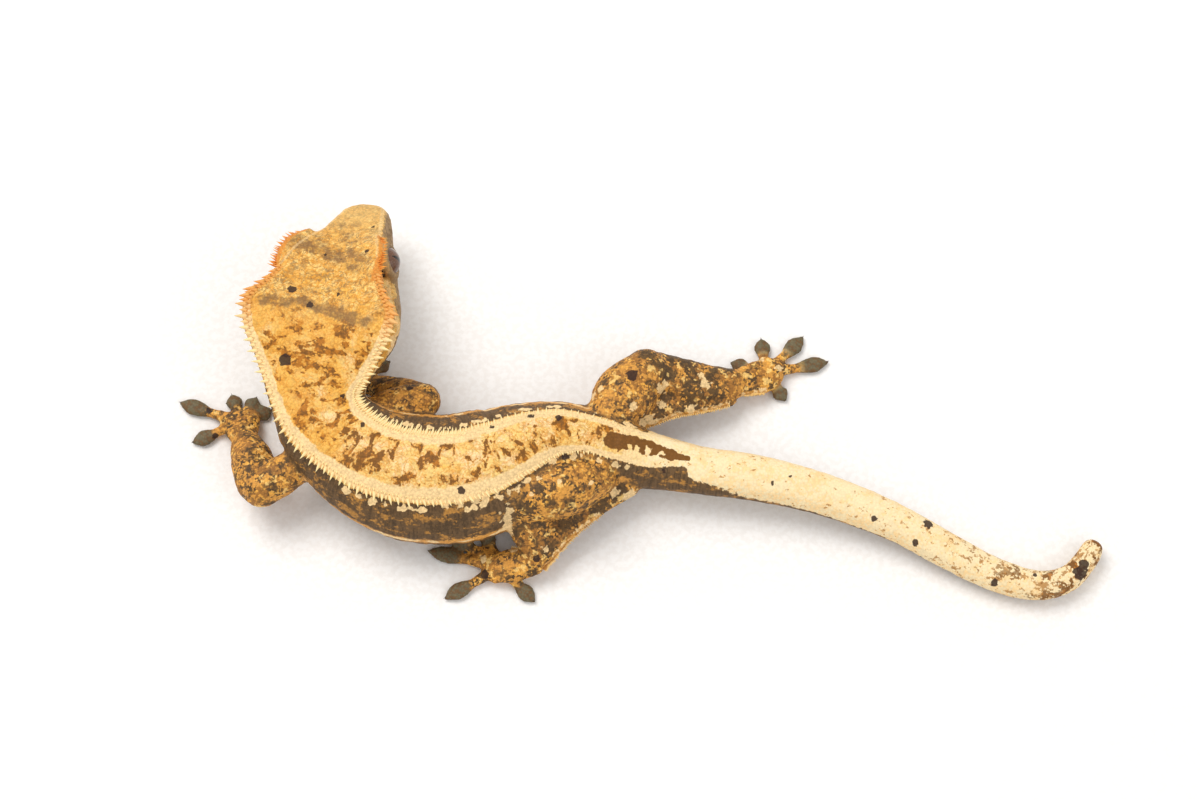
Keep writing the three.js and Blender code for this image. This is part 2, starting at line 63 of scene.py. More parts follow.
def hermite(a, b, slope_a, slope_b, t):
    """The cubic from a to b with these slopes, at t from 0 to 1."""
    t2, t3 = t * t, t * t * t
    ends = a * (2 * t3 - 3 * t2 + 1) + b * (3 * t2 - 2 * t3)
    return ends + slope_a * (t3 - 2 * t2 + t) + slope_b * (t3 - t2)


def smoothstep(low, high, x):
    t = np.clip((np.asarray(x, float) - low) / (high - low), 0, 1)
    return t * t * (3 - 2 * t)


def hump(x, centre, width):
    """A soft bump of height 1 at the centre."""
    return np.exp(-(((np.asarray(x, float) - centre) / width) ** 2))


def profile(*pairs):
    """A smooth line through (distance, value) pairs that never swings past them."""
    at = np.array([p[0] for p in pairs], float)
    value = np.array([p[1] for p in pairs], float)
    step = np.diff(at)
    rise = np.diff(value) / step
    slope = np.zeros(len(at))
    slope[0], slope[-1] = rise[0], rise[-1]
    for i in range(1, len(at) - 1):
        if rise[i - 1] * rise[i] > 0:
            a, b = 2 * step[i] + step[i - 1], step[i] + 2 * step[i - 1]
            slope[i] = (a + b) / (a / rise[i - 1] + b / rise[i])

    def read(x):
        x = np.clip(np.asarray(x, float), at[0], at[-1])
        i = np.clip(np.searchsorted(at, x, "right") - 1, 0, len(step) - 1)
        t = (x - at[i]) / step[i]
        return hermite(value[i], value[i + 1], slope[i] * step[i], slope[i + 1] * step[i], t)

    return read


# Profiles by distance from the snout: _out is reach to the side, _up is height above the floor.
crown_up = profile((0, 10.9), (1.2, 12.3), (4, 14), (8, 15.8), (12, 17.8), (17, 20), (22, 21.8), (28, 23.2),
                   (34, 22.4), (40, 20.9), (46, 19.7), (54, 18.8), (76, 18.5), (88, 17.5), (99, 15.2),
                   (108, 13.2), (116, 11.8))
crest_out = profile((0, 1.6), (1.2, 3.4), (4, 4.5), (8, 5.9), (11, 7.2), (14, 8.6), (18, 9.9), (22, 11.4),
                    (28, 14.1), (32, 13.4), (36, 11.3), (40, 9.3), (44, 7.6), (54, 6.6), (66, 6.6),
                    (78, 6.4), (88, 5.2), (94, 4.2), (100, 3.5), (114, 3.1))
crest_up = profile((0, 10.7), (1.2, 12), (4, 13.8), (8, 16), (11, 18.6), (14, 20.2), (18, 21.4), (22, 22.6),
                   (28, 25), (32, 24.2), (38, 20.8), (46, 18.6), (58, 17.2), (76, 16.8), (88, 16),
                   (99, 14.2), (108, 12.6), (116, 11.2))
flank_out = profile((0, 1.8), (1.2, 3.8), (4, 5.3), (8, 6.8), (12, 8.6), (17, 10.6), (22, 12.4), (26, 13.1),
                    (29, 12.8), (33, 11), (38, 8.6), (42, 8), (48, 8.8), (56, 10.2), (66, 12), (76, 12.2),
                    (86, 10.1), (94, 7.6), (101, 6.6), (108, 5.8), (116, 5))
flank_up = profile((0, 10), (8, 11.2), (20, 13), (28, 13.6), (36, 13), (44, 11.4), (54, 9), (68, 7.8),
                   (88, 7.6), (104, 7.4), (116, 6.8))
side_bulge = profile((0, 0.1), (6, 0.2), (9, -0.4), (14, -2.2), (19, -1.4), (26, -2), (32, -1.4),
                     (38, -0.3), (46, 1), (58, 1.8), (78, 1.8), (94, 1.2), (108, 0.6), (116, 0.5))
under_out = profile((0, 1), (1.2, 2.2), (4, 3.2), (8, 4.2), (17, 6), (26, 8), (33, 7), (40, 5.2), (48, 6),
                    (58, 7.6), (74, 9), (86, 7.6), (98, 5), (108, 4), (116, 3.5))
under_up = profile((0, 9.3), (4, 8.4), (8, 8), (17, 7.6), (26, 7.4), (36, 6.6), (42, 5.2), (50, 3),
                   (58, 1.4), (66, 0.8), (88, 0.8), (100, 1.4), (116, 2.2))
keel_up = profile((0, 9.1), (1.2, 8.3), (4, 7.6), (8, 7.2), (17, 6.7), (26, 6.4), (36, 5.4), (42, 4),
                  (50, 1.8), (56, 0.1), (60, -0.3), (88, -0.3), (98, 0.4), (116, 1.5))
roll_angle = profile((0, 13), (8, 16), (15, 16), (27, 7.5), (46, 3), (90, 3), (112, 0))
tail_radius = profile((114, 4.9), (121, 4.5), (130, 4.4), (140, 4.1), (150, 3.8), (160, 3.5), (172, 3.3),
                      (182, 3.05), (190, 2.65), (196, 2.35), (200, 2.2), (202, 1.8), (203, 0.9))
tail_under = profile((114, 1.6), (122, 2), (134, 2), (150, 1.3), (165, 0.4), (176, -0.2), (198, -0.2),
                     (203, 0.8))
mouth_up = profile((-3, 9.8), (0, 9.8), (6, 9.9), (13, 10.1), (19, 11.2), (24, 12.6))
spine_length = profile((19, 0.6), (23, 1.3), (28, 1.8), (32, 1.5), (38, 1.4), (50, 1.6), (62, 1.5), (76, 1),
                       (90, 0.7), (104, 0.5))
spine_root = profile((19, 0.5), (28, 0.72), (38, 0.5), (62, 0.46), (90, 0.36), (104, 0.3))
spine_step = profile((19, 1.5), (28, 1.9), (38, 1.35), (62, 1.3), (104, 1.2))
brow_out = profile((9.6, 7.2), (11.5, 8.6), (15, 9.5), (18.6, 9.5))
brow_up = profile((9.6, 17.2), (11.5, 18.7), (15, 20), (18.6, 20.8))

EYE = {"at": 14, "out": 7.9, "up": 15.9, "radius": 3.3, "lid": 2.9, "tube": 0.55, "forward": 14, "tilt": 4}
NOSTRIL = {"at": 1.9, "out": 3.3, "up": 12, "radius": 0.45}
EAR = {"at": 28.4, "out": 12.6, "up": 15.6, "radius": 1.2}

# Markings by distance: the cream stripe inside the crest, the share of blotches, the edge of the tail's
# pale top as a slope, and the edge of the dark left side of the tail root.
stripe_width = profile((24, 0.4), (31, 1.6), (44, 1.9), (54, 2.3), (72, 2.5), (88, 1.8), (96, 1.2),
                       (104, 1), (116, 1))
blotch_share = profile((20, 0.5), (30, 0.9), (40, 1), (58, 1.04), (66, 0.94), (82, 0.96), (92, 1.06),
                       (100, 1.12), (104, 0.7), (108, 0.1), (112, 0))
tail_edge = profile((110, 0.3), (118, 0.25), (126, 0.2), (140, 0.1), (152, -0.06), (165, -0.25),
                    (180, -0.5), (203, -0.7))
left_line = profile((90, 4.4), (100, 3.4), (104.5, 3.4), (110.6, 3), (116.6, 1.6), (118.4, 1.3),
                    (119.1, 2.9), (123, 3.4), (134, 3.9))

# Black spots: places on the skin and radii, in millimetres
BLACK_SPOTS = [
    (-64.3, 1.9, 21.3, 1.1), (-59.9, 12.1, 23, 0.7), (-63.5, 15.7, 22, 0.85), (-54.8, 14.3, 23, 0.4),
    (-49.9, 23.6, 20.7, 0.5), (-49.3, 30.6, 16, 0.35), (-55, 22.7, 19.5, 0.25), (-57.9, 23.9, 18.7, 0.35),
    (-53.6, -4.7, 19.9, 0.45), (-50, -9.9, 18.7, 0.55), (-31.7, -22, 17.3, 0.65), (-26.3, -9.7, 17.1, 0.45),
    (-19.1, -7.3, 16.3, 0.6), (-14, -7.5, 15.9, 0.6), (-12.8, -14.5, 14.1, 0.7), (5.4, -16.2, 11, 0.45),
    (-0.4, 1.8, 13.2, 1.1), (-27.8, -33.4, 2.2, 0.8), (-18.1, -31.5, 5.4, 0.6), (-80.7, -0.8, 1.5, 0.6),
    (-79.4, -5.9, 1.2, 0.6), (-76.9, -2, 1.5, 0.5), (-41.9, -0.1, 11.8, 0.6), (25.6, -18.3, 10.2, 0.4),
    (28.8, -17.1, 10.2, 0.3), (44.4, -24.3, 7.7, 0.55), (54.4, -25.1, 6.7, 0.95), (51.9, -28.7, 6.3, 0.6),
    (66.4, -36, 5.1, 0.7), (74, -34.5, 5.2, 0.4), (82.5, -33.9, 4.4, 1.2), (83.3, -32.2, 4.4, 1),
]
# Pale spots of the legs and the row under the crest
CREAM_SPOTS = [
    (-23.1, -24.4, 12.5, 0.8), (-23.5, -25.6, 11.3, 0.9), (-23.4, -26.4, 9.5, 0.9),
    (-22.9, -26.7, 6.5, 0.8), (5, 0.3, 10.1, 0.9), (5.7, 1.3, 9.8, 0.7), (4.5, -0.5, 7.4, 0.6),
    (5.2, -2.1, 8, 0.7), (-0.2, -3.9, 12.7, 0.9), (2.8, -4.8, 7.7, 0.9), (1.5, -5.5, 7.8, 0.9),
    (12.7, 3.6, 8.7, 0.6), (13.3, 2, 8.5, 0.9), (10.7, -2.5, 6.5, 0.8), (24.5, 9.2, 2.5, 0.6),
    (27.8, 7.2, 2.8, 0.7), (20.9, 1.5, 3, 0.7), (-6.2, -0.4, 12.1, 0.6), (-7.5, -1.4, 11.1, 0.7),
    (-17.6, -19, 15, 0.5), (-13.8, -19.7, 15.6, 0.5), (-18.9, -22, 14.6, 0.5), (-7.9, -19.6, 14.1, 0.5),
    (-3.7, -19.4, 7.9, 0.8), (-1.5, -19.9, 6.8, 0.7), (-0.4, -19.3, 6.8, 0.8), (-28.1, -30.5, 1.9, 0.7),
    (-16.4, -30, 6.2, 0.6), (-15.1, -15.8, 14.6, 0.6), (-11.3, -14.4, 13.6, 0.8), (-6.6, -15.1, 13.1, 0.6),
    (-3.5, -15.3, 12.2, 0.6), (-1.5, -15.7, 11.8, 0.5), (-34.6, -24.5, 16.2, 0.6), (-31.8, -24, 16.3, 0.7),
    (-29.3, -23.5, 16.2, 0.8), (-27.2, -23, 15.9, 0.7), (-25.2, -21.9, 16, 0.6),
]
# Smudges of the head: the places they pass through, their half width and their strength
HEAD_SMUDGES = [
    ([(-64, 27.2, 17.5), (-58.6, 25.7, 17.9), (-54.1, 22.8, 19.8), (-50.6, 20.8, 21)], 2.6, 0.75),
    ([(-54.7, 31, 15.1), (-53, 26.2, 18.1), (-53.4, 19.5, 21)], 1.7, 0.6),
    ([(-68.8, 13, 23.1), (-64.6, 12.8, 23.1), (-61.3, 13.1, 22.9), (-55.4, 10.1, 23.8), (-48.6, 7.8, 25)],
     1.3, 0.95),
    ([(-57, 21, 20.4), (-56.5, 14, 22.6)], 3.2, 0.35),
]
# The dark wedge at the hips, as strokes like the smudges, and the pale gaps in it
WEDGE = [(-4.2, -11.2, 14.1), (-0.9, -11.5, 13.3), (2.9, -12.1, 12.3), (6.9, -13.2, 11.5), (9.8, -13.8, 11)]
WEDGE_STROKES = [(WEDGE[:3], 1.5, 1), (WEDGE[2:4], 1.1, 1), (WEDGE[3:], 0.6, 1)]
WEDGE_GAPS = [(-0.8, -12.2, 13.2, 0.6), (0.4, -12.5, 13, 0.6), (2.6, -12.6, 12.4, 0.75),
              (5, -12.9, 11.8, 0.5)]

# The midline as a curve by distance.
reach = np.concatenate([[0], np.cumsum(np.hypot(*np.diff(MIDLINE, axis=0).T))])
last_knot = len(MIDLINE) - 1
knot_slope = []
for k in range(len(MIDLINE)):
    before, after = max(0, k - 1), min(last_knot, k + 1)
    knot_slope.append((MIDLINE[after] - MIDLINE[before]) / (reach[after] - reach[before]))
knot_slope = np.array(knot_slope)



def midline(s):
    s = np.asarray(s, float)
    i = np.clip(np.searchsorted(reach, s, "right") - 1, 0, last_knot - 1)
    span = reach[i + 1] - reach[i]
    t = ((s - reach[i]) / span)[..., None]
    span = span[..., None]
    return hermite(MIDLINE[i], MIDLINE[i + 1], knot_slope[i] * span, knot_slope[i + 1] * span, t)


def section_frame(s):
    """Where a section is, and which way forward, right and up are, for an array of distances."""
    s = np.asarray(s, float)
    way = midline(s - 0.2) - midline(s + 0.2)
    way /= np.linalg.norm(way, axis=-1, keepdims=True)
    roll = np.radians(roll_angle(s))
    zero = np.zeros_like(s)
    forward = np.stack([way[..., 0], way[..., 1], zero], -1)
    right = np.stack([way[..., 1] * np.cos(roll), -way[..., 0] * np.cos(roll), np.sin(roll)], -1)
    up = np.cross(right, forward)
    here = midline(s)
    origin = np.stack([here[..., 0], here[..., 1], zero + ROLL_HEIGHT], -1)
    return origin, forward, right, up


def body_place(s, out, height):
    """A place on or near the body: distance from the snout, reach to the right, height above the floor."""
    origin, _, right, up = section_frame(s)
    lift = np.asarray(height, float) - ROLL_HEIGHT
    return origin + right * np.asarray(out, float)[..., None] + up * lift[..., None]


def section_corners(s):
    """The right half of a section's corners, from the middle of the back to the middle of the belly."""
    crest = (float(crest_out(s)), float(crest_up(s)))
    flank = (float(flank_out(s)), float(flank_up(s)))
    side = ((crest[0] + flank[0]) / 2 + float(side_bulge(s)), (crest[1] + flank[1]) / 2)
    body = [(0, float(crown_up(s))), crest, side, flank, (float(under_out(s)), float(under_up(s))),
            (0, float(keel_up(s)))]
    blend = float(smoothstep(SNOUT_TO_VENT - 6, SNOUT_TO_VENT + 10, s))
    radius = float(tail_radius(s))
    middle = float(tail_under(s)) + radius
    corners = []
    for (out, up), angle in zip(body, np.radians([0, 40, 65, 92, 137, 180])):
        corners.append((out + (radius * math.sin(angle) - out) * blend,
                        up + (middle + radius * math.cos(angle) - up) * blend))
    return corners


SECTION_STEPS = 9


def body_ring(s):
    """One closed ring of a body section: its points, their reach to the right and their height."""
    right = section_corners(s)
    corners = np.array(right + [(-out, up) for out, up in reversed(right[1:-1])])
    outs, ups = [], []
    for i in range(len(corners)):
        a, b, c, d = (corners[(i + k) % len(corners)] for k in (-1, 0, 1, 2))
        for t in np.arange(SECTION_STEPS) / SECTION_STEPS:
            out, up = hermite(b, c, (c - a) / 2, (d - b) / 2, t)
            outs.append(out)
            ups.append(up)
    outs, ups = np.array(outs), np.array(ups)
    return body_place(np.full(len(outs), float(s)), outs, ups), outs, ups


def loft(rings, ends=None):
    """Points and faces of a closed skin through rings of equal length, with a point at each end."""
    count, sides = len(rings), len(rings[0])
    points = np.concatenate([*rings, ends or [rings[0].mean(0), rings[-1].mean(0)]])
    faces = []
    for r in range(count - 1):
        for k in range(sides):
            a, b = r * sides + k, r * sides + (k + 1) % sides
            faces.append((a, a + sides, b + sides, b))
    for k in range(sides):
        nxt = (k + 1) % sides
        faces.append((count * sides, k, nxt))
        faces.append((count * sides + 1, (count - 1) * sides + nxt, (count - 1) * sides + k))
    return points, faces


DOME_STEPS = (0.99, 0.94, 0.84, 0.7, 0.5, 0.26)


def limb_rings(stations, sides=24, steps=8):
    """Rings of a tapered limb through stations (x, y, z, half width, half thickness), round at both ends."""
    st = np.array(stations, float)
    last = len(st) - 1

    def read(t):
        i = min(last - 1, int(t))
        a, b, c, d = (st[min(last, max(0, k))] for k in (i - 1, i, i + 1, i + 2))
        return hermite(b, c, (c - a) / 2, (d - b) / 2, t - i)

    def heading(t):
        return unit(read(min(last, t + 0.05))[:3] - read(max(0, t - 0.05))[:3])

    angles = 2 * np.pi * (np.arange(sides) + 0.5) / sides

    def ring(at, way, wide, thick):
        side = unit(np.cross(way, (0, 0, 1)))
        up = np.cross(side, way)
        return at + np.outer(wide * np.cos(angles), side) + np.outer(thick * np.sin(angles), up)

    def dome(t, sign):
        here = read(t)
        way = heading(t)
        made = []
        for lean in DOME_STEPS:
            share = math.sqrt(1 - lean * lean)
            at = here[:3] + way * sign * lean * min(here[3], here[4])
            made.append(ring(at, way, here[3] * share, here[4] * share))
        return made

    ts = np.arange(last * steps + 1) / steps
    rings = dome(0, -1)
    rings += [ring(read(t)[:3], heading(t), read(t)[3], read(t)[4]) for t in ts]
    rings += list(reversed(dome(last, 1)))
    along = np.concatenate([np.zeros(len(DOME_STEPS)), ts / last, np.ones(len(DOME_STEPS))])
    return rings, along


TOE_BASE = 1.15
PAD_HALF_WIDTH = 1.75
TOE_THICK = 0.95


def toe_stations(palm, tip, size=1):
    """Stations of one toe: a narrow base, a broad leaf-shaped pad and a fine tip."""
    shape = ((0, TOE_BASE, 1.1), (0.3, TOE_BASE, 1), (0.5, 0.95, 0.9), (0.64, 1.5, 0.8),
             (0.78, PAD_HALF_WIDTH, 0.75), (0.9, 1.25, 0.65), (1, 0.4, 0.5))
    made = []
    for t, wide, thick in shape:
        level = TOE_THICK * thick * size - 0.15
        rise = palm[2] + (level - palm[2]) * float(smoothstep(0, 0.5, t))
        made.append((palm[0] + (tip[0] - palm[0]) * t, palm[1] + (tip[1] - palm[1]) * t, rise,
                     wide * size, TOE_THICK * thick * size))
    return made


# Stations of each leg: x, y, z, half width, half thickness
LEGS = {
    "front_left": {
        "upper_arm": [(-60.6, -13.2, 9.4, 3.2, 3.4), (-65.3, -16.4, 9.4, 3.7, 3.6),
                      (-69.3, -18.8, 8.9, 3.7, 3.6)],
        "forearm": [(-70, -17.6, 8.2, 4.1, 3.4), (-71.4, -12.8, 6.6, 4.1, 3), (-73.2, -8.2, 3.9, 2.9, 2.2)],
        "hand": [(-73.7, -6.8, 3.2, 2.7, 1.8), (-74.3, -4.4, 2.2, 3.7, 1.6), (-74.9, -2.8, 1.8, 3.4, 1.4)],
        "palm": (-74.8, -3.2, 1.9),
        "toes": [(-69, -0.4), (-71.9, 2), (-76.6, 2.6), (-86.4, 1.1), (-83.6, -7)],
    },
    "front_right": {
        "upper_arm": [(-50.4, -5.6, 9.4, 3.2, 3.4), (-45, -3, 9.4, 3.6, 3.4), (-39.4, -1.6, 8.8, 3.3, 3.2)],
        "forearm": [(-39.4, -0.8, 7.4, 3, 3), (-43.6, 1.1, 5.8, 2.9, 2.6), (-48.6, 3.2, 3.6, 2.3, 2)],
        "hand": [(-49.8, 3.8, 2.9, 2.2, 1.7), (-51.6, 5.2, 2.1, 2.8, 1.5), (-53, 6.4, 1.7, 2.6, 1.3)],
        "palm": (-52.3, 5.8, 1.8),
        "toes": [(-58.6, 5.4), (-59, 10.8), (-55, 14.4), (-50.4, 14), (-46.8, 9.4)],
    },
    "hind_right": {
        "thigh": [(-4.8, -5.2, 9, 4.4, 4.6), (-1.8, -0.4, 9, 5.8, 4.6), (2.6, 4.4, 8.4, 4.6, 4.2)],
        "shank": [(4.4, 4.6, 7.2, 4, 3.8), (11.4, 2.8, 6, 4.5, 3.2), (19, 3.6, 4, 3, 2.3)],
        "foot": [(20, 4, 3.2, 2.8, 1.9), (23.6, 5.4, 2.3, 3.5, 1.7), (26.9, 7.4, 1.8, 2.9, 1.4)],
        "web": [(0.6, -4.4, 6, 2.4, 2.2), (6.6, -0.6, 5.8, 3.6, 2.2), (12.6, 0.6, 5, 3.4, 2),
                (18, 1.2, 4, 2.2, 1.6)],
        "palm": (25.2, 6.6, 1.9),
        "toes": [(18.8, 9.2), (24.6, 14), (32.6, 14.4), (37.2, 9.4), (29, 1.6)],
    },
    "hind_left": {
        "thigh": [(-7, -17, 9.4, 3.8, 4.6), (-13.2, -19.2, 10.6, 5.6, 5.2), (-20, -21, 10, 5, 4.8)],
        "shank": [(-20, -22.6, 7.6, 4.2, 3.8), (-18.8, -26.2, 5.8, 4.2, 3.1), (-17.4, -30.2, 3.8, 2.8, 2.3)],
        "foot": [(-18.4, -31.2, 3.1, 2.7, 1.8), (-22.6, -31.8, 2.2, 3.3, 1.6), (-26.4, -32.2, 1.8, 3, 1.4)],
        "web": [(-1, -17.6, 6, 2, 2.2), (-8, -20.4, 5.8, 3.4, 2.2), (-13.4, -24.8, 5.2, 3.4, 2),
                (-15.6, -28.8, 4, 2.2, 1.6)],
        "palm": (-24.8, -31.9, 1.9),
        "toes": [(-28.4, -24), (-35.2, -24.4), (-38.4, -28.4), (-35.2, -37.6), (-18.7, -38.2)],
    },
}
HIND_LEGS = ("hind_right", "hind_left")
# How far down the leg each limb begins
LIMB_STAGE = {"upper_arm": 0, "thigh": 0, "forearm": 1, "shank": 1, "hand": 2, "foot": 2, "web": 1}


# Making meshes

def linked(name, data):
    """A new object of the scene, at the origin."""
    made = bpy.data.objects.new(name, data)
    bpy.context.scene.collection.objects.link(made)
    return made


def mesh_object(name, points, faces):
    """A new object at the origin, from points in millimetres."""
    mesh = bpy.data.meshes.new(name)
    mesh.from_pydata((np.asarray(points) * MM).tolist(), [], [tuple(f) for f in faces])
    mesh.validate()
    mesh.update()
    return linked(name, mesh)


def baked(source, name):
    """A plain mesh object with the source's modifiers applied. The source is removed."""
    graph = bpy.context.evaluated_depsgraph_get()
    mesh = bpy.data.meshes.new_from_object(source.evaluated_get(graph))
    mesh.name = name
    made = linked(name, mesh)
    bpy.data.objects.remove(source)
    return made


def read_vectors(items, key, kind=float, size=3):
    """One row of numbers for each point or edge of a mesh."""
    values = np.zeros(len(items) * size, kind)
    items.foreach_get(key, values)
    return values.reshape(-1, size)


def set_coordinates(mesh, co):
    mesh.vertices.foreach_set("co", (co * MM).ravel())
    mesh.update()


def write_values(mesh, measures):
    """Named values on the points of a mesh, each a number or a vector for every point."""
    for name, values in measures.items():
        values = np.ascontiguousarray(values, np.float32)
        kind, key = ("FLOAT", "value") if values.ndim == 1 else ("FLOAT_VECTOR", "vector")
        layer = mesh.attributes.new(name, kind, "POINT")
        layer.data.foreach_set(key, values.ravel())


def shade_smooth(mesh):
    mesh.polygons.foreach_set("use_smooth", [True] * len(mesh.polygons))


# The skin: body, legs and toes as one surface

VOXEL = 0.43
TAIL_PULL = 0.34  # the last bend of the tail moves in by this, so that its tip stays in the solids' box
BODY, LEG, TOE, LID = range(4)
forms = []


def add_surface(points, faces, kind, measure):
    """Keep one closed surface of the skin, with its kind and two measures of each of its points."""
    forms.append((points, faces, np.full(len(points), kind), measure))


def add_form(rings, kind, along, member):
    points, faces = loft(rings)
    t = np.concatenate([np.repeat(along, len(rings[0])), [along[0], along[-1]]])
    add_surface(points, faces, kind, np.stack([t, np.full(len(t), member)], -1))


nose, tail_end = [0, 0.3, 0.6, 0.9, 1.2, 1.6], [202.6, 202.85, TAIL_TIP]
body_stations = np.concatenate([nose, np.arange(2, tail_end[0], 0.5), tail_end])
add_form([body_ring(s)[0] for s in body_stations], BODY, body_stations, 0)
for member, data in enumerate(LEGS.values(), 1):
    for part, stage in LIMB_STAGE.items():
        if part in data:
            rings, along = limb_rings(data[part])
            add_form(rings, LEG, along + stage, member)
    for tip in data["toes"]:
        rings, along = limb_rings(toe_stations(data["palm"], tip), sides=18, steps=3)
        add_form(rings, TOE, along, member)

# The ridges over the eyes, by side (-1 left, 1 right): half width, shift outwards and length of the lashes
BROW_FROM, BROW_TO = 9.6, 18.6
BROW_WIDE = {-1: 1.7, 1: 1.1}
BROW_SHIFT = {-1: 0.4, 1: -1.2}
LASH_LONG = {-1: 1.3, 1: 0.9}


def brow_place(s, side, reach=0.0):
    return body_place(s, side * (float(brow_out(s)) + BROW_SHIFT[side] + reach), brow_up(s))


for side in (-1, 1):
    brow = [(*brow_place(s, side), BROW_WIDE[side] * wide, 0.8)
            for s, wide in ((BROW_FROM, 0.7), (12.6, 1), (15.6, 1.05), (BROW_TO, 0.7))]
    rings, along = limb_rings(brow, sides=16, steps=6)
    add_form(rings, BODY, along, 0)


def eye_centre(side):
    return body_place(EYE["at"], side * EYE["out"], EYE["up"])


def eye_axes(side):
    """The way an eye looks, and its forward and upward ways."""
    _, forward, right, up = section_frame(EYE["at"])
    ahead, tilt = math.sin(math.radians(EYE["forward"])), math.sin(math.radians(EYE["tilt"]))
    look = unit(right * side + forward * ahead + up * tilt)
    across = unit(forward - look * forward.dot(look))
    return look, across, np.cross(look, across) * side


LID_STEPS, LID_SIDES = 48, 12
turn = np.linspace(0, 2 * np.pi, LID_STEPS, endpoint=False)
small = np.linspace(0, 2 * np.pi, LID_SIDES, endpoint=False)
for side in (-1, 1):
    look, across, above = eye_axes(side)
    centre = eye_centre(side) + look * (math.sqrt(EYE["radius"] ** 2 - EYE["lid"] ** 2) + 0.1)
    rim, rim_faces = [], []
    for i, a in enumerate(turn):
        out = across * math.cos(a) + above * math.sin(a)
        tube = EYE["tube"] * (1 + 0.35 * max(0, math.sin(a)) + 0.6 * max(0, -math.cos(a)))
        ring = np.outer(np.cos(small), out) + np.outer(np.sin(small), look)
        rim.append(centre + out * EYE["lid"] + tube * ring)
        here, ahead = i * LID_SIDES, (i + 1) % LID_STEPS * LID_SIDES
        for k in range(LID_SIDES):
            n = (k + 1) % LID_SIDES
            rim_faces.append((here + k, here + n, ahead + n, ahead + k))
    measure = np.stack([np.repeat(turn, LID_SIDES), np.full(LID_STEPS * LID_SIDES, side)], -1)
    add_surface(np.concatenate(rim), rim_faces, LID, measure)

form_points, form_kind, form_measure = (np.concatenate([form[i] for form in forms]) for i in (0, 2, 3))
form_faces, start = [], 0
for points, faces, _, _ in forms:
    form_faces += [tuple(i + start for i in face) for face in faces]
    start += len(points)
bulk = mesh_object("forms", form_points, form_faces)
remesh = bulk.modifiers.new("remesh", "REMESH")
remesh.mode = "VOXEL"
remesh.voxel_size = VOXEL * MM
remesh.use_smooth_shade = True
skin = baked(bulk, "skin")


def nearest_of(places, targets):
    """For each place, the number of the nearest target."""
    tree = KDTree(len(targets))
    for i, target in enumerate(targets):
        tree.insert(target, i)
    tree.balance()
    return np.array([tree.find(place)[1] for place in places])


# Every skin point knows which form it lies on, and how far along it.
co = read_vectors(skin.data.vertices, "co") / MM
nearest = nearest_of(co, form_points)
kind = form_kind[nearest]
measure = form_measure[nearest]
edges = read_vectors(skin.data.edges, "vertices", np.int64, 2)
degree = np.bincount(edges.ravel(), minlength=len(co)).astype(float)


def neighbour_mean(values):
    """The mean over each point's neighbours."""
    values = np.asarray(values, float)
    flat = values.reshape(len(values), -1)
    total = np.zeros_like(flat)
    for c in range(flat.shape[1]):
        total[:, c] = (np.bincount(edges[:, 0], flat[edges[:, 1], c], len(flat))
                       + np.bincount(edges[:, 1], flat[edges[:, 0], c], len(flat)))
    return (total / degree[:, None]).reshape(values.shape)


def softened(values, times):
    """Values spread over their neighbours, more with each time."""
    values = np.asarray(values, float)
    for _ in range(times):
        values = 0.5 * values + 0.5 * neighbour_mean(values)
    return values


# Soft joints: the creases where legs and toes leave the body are smoothed, the rest only a little.
border = np.zeros(len(co))
for form in (LEG, TOE):
    border = np.maximum(border, 1 - np.abs(2 * softened(kind == form, 6) - 1))
border = np.clip(softened(border, 3) * 1.6, 0, 1)
for _ in range(14):
    weight = np.clip(0.1 + 0.6 * border, 0, 0.6)[:, None]
    co = co + weight * (neighbour_mean(co) - co)

# Body measures of every point: distance from the snout, reach to the right, height.
walk = np.arange(-1, TAIL_TIP + 1, 0.25)
walk_points = np.column_stack([midline(walk), np.zeros(len(walk))])
s_of = walk[nearest_of(co * (1, 1, 0), walk_points)]
origin, forward, right, up = section_frame(s_of)
s_of = np.clip(s_of - np.einsum("ij,ij->i", co - origin, forward), -1, TAIL_TIP + 1)
origin, forward, right, up = section_frame(s_of)
out_of = np.einsum("ij,ij->i", co - origin, right)
up_of = np.einsum("ij,ij->i", co - origin, up) + ROLL_HEIGHT

on_leg = softened((kind == LEG) | (kind == TOE), 2)
on_toe = softened(kind == TOE, 2)
on_body = softened(kind == BODY, 2)
on_lid = softened(kind == LID, 1)
on_head = on_body * (1 - smoothstep(23, 32, s_of))

# Relief: the mouth line, nostrils, ear openings, folds and wrinkles
set_coordinates(skin.data, co)
way = read_vectors(skin.data.vertices, "normal")
push = np.zeros(len(co))
mouth = (s_of < 25) & (np.abs(out_of) > 0.1) | (s_of < 1.5)
from_lip = up_of - mouth_up(s_of)
push -= 0.42 * hump(from_lip, 0, 0.3) * mouth * (on_body > 0.5) * (1 - smoothstep(22, 25, s_of))
lips = 0.14 * hump(from_lip, 0.85, 0.4) + 0.1 * hump(from_lip, -0.8, 0.4)
push += lips * mouth * on_head * (1 - smoothstep(20, 25, s_of))
for side in (-1, 1):
    for hole, depth, wide in ((NOSTRIL, 0.5, 0.42), (EAR, 0.9, 0.9)):
        centre = body_place(hole["at"], side * hole["out"], hole["up"])
        gap = np.linalg.norm((co - centre) / (1, 1, 1.3), axis=1)
        push -= depth * np.exp(-((gap / wide) ** 2)) * (gap < 4)


def noise_at(places, scale, seed):
    shift = Vector((seed * 13.7, seed * 5.1, seed * 9.3))
    return np.array([noise.noise(Vector(p) * scale + shift) for p in places])


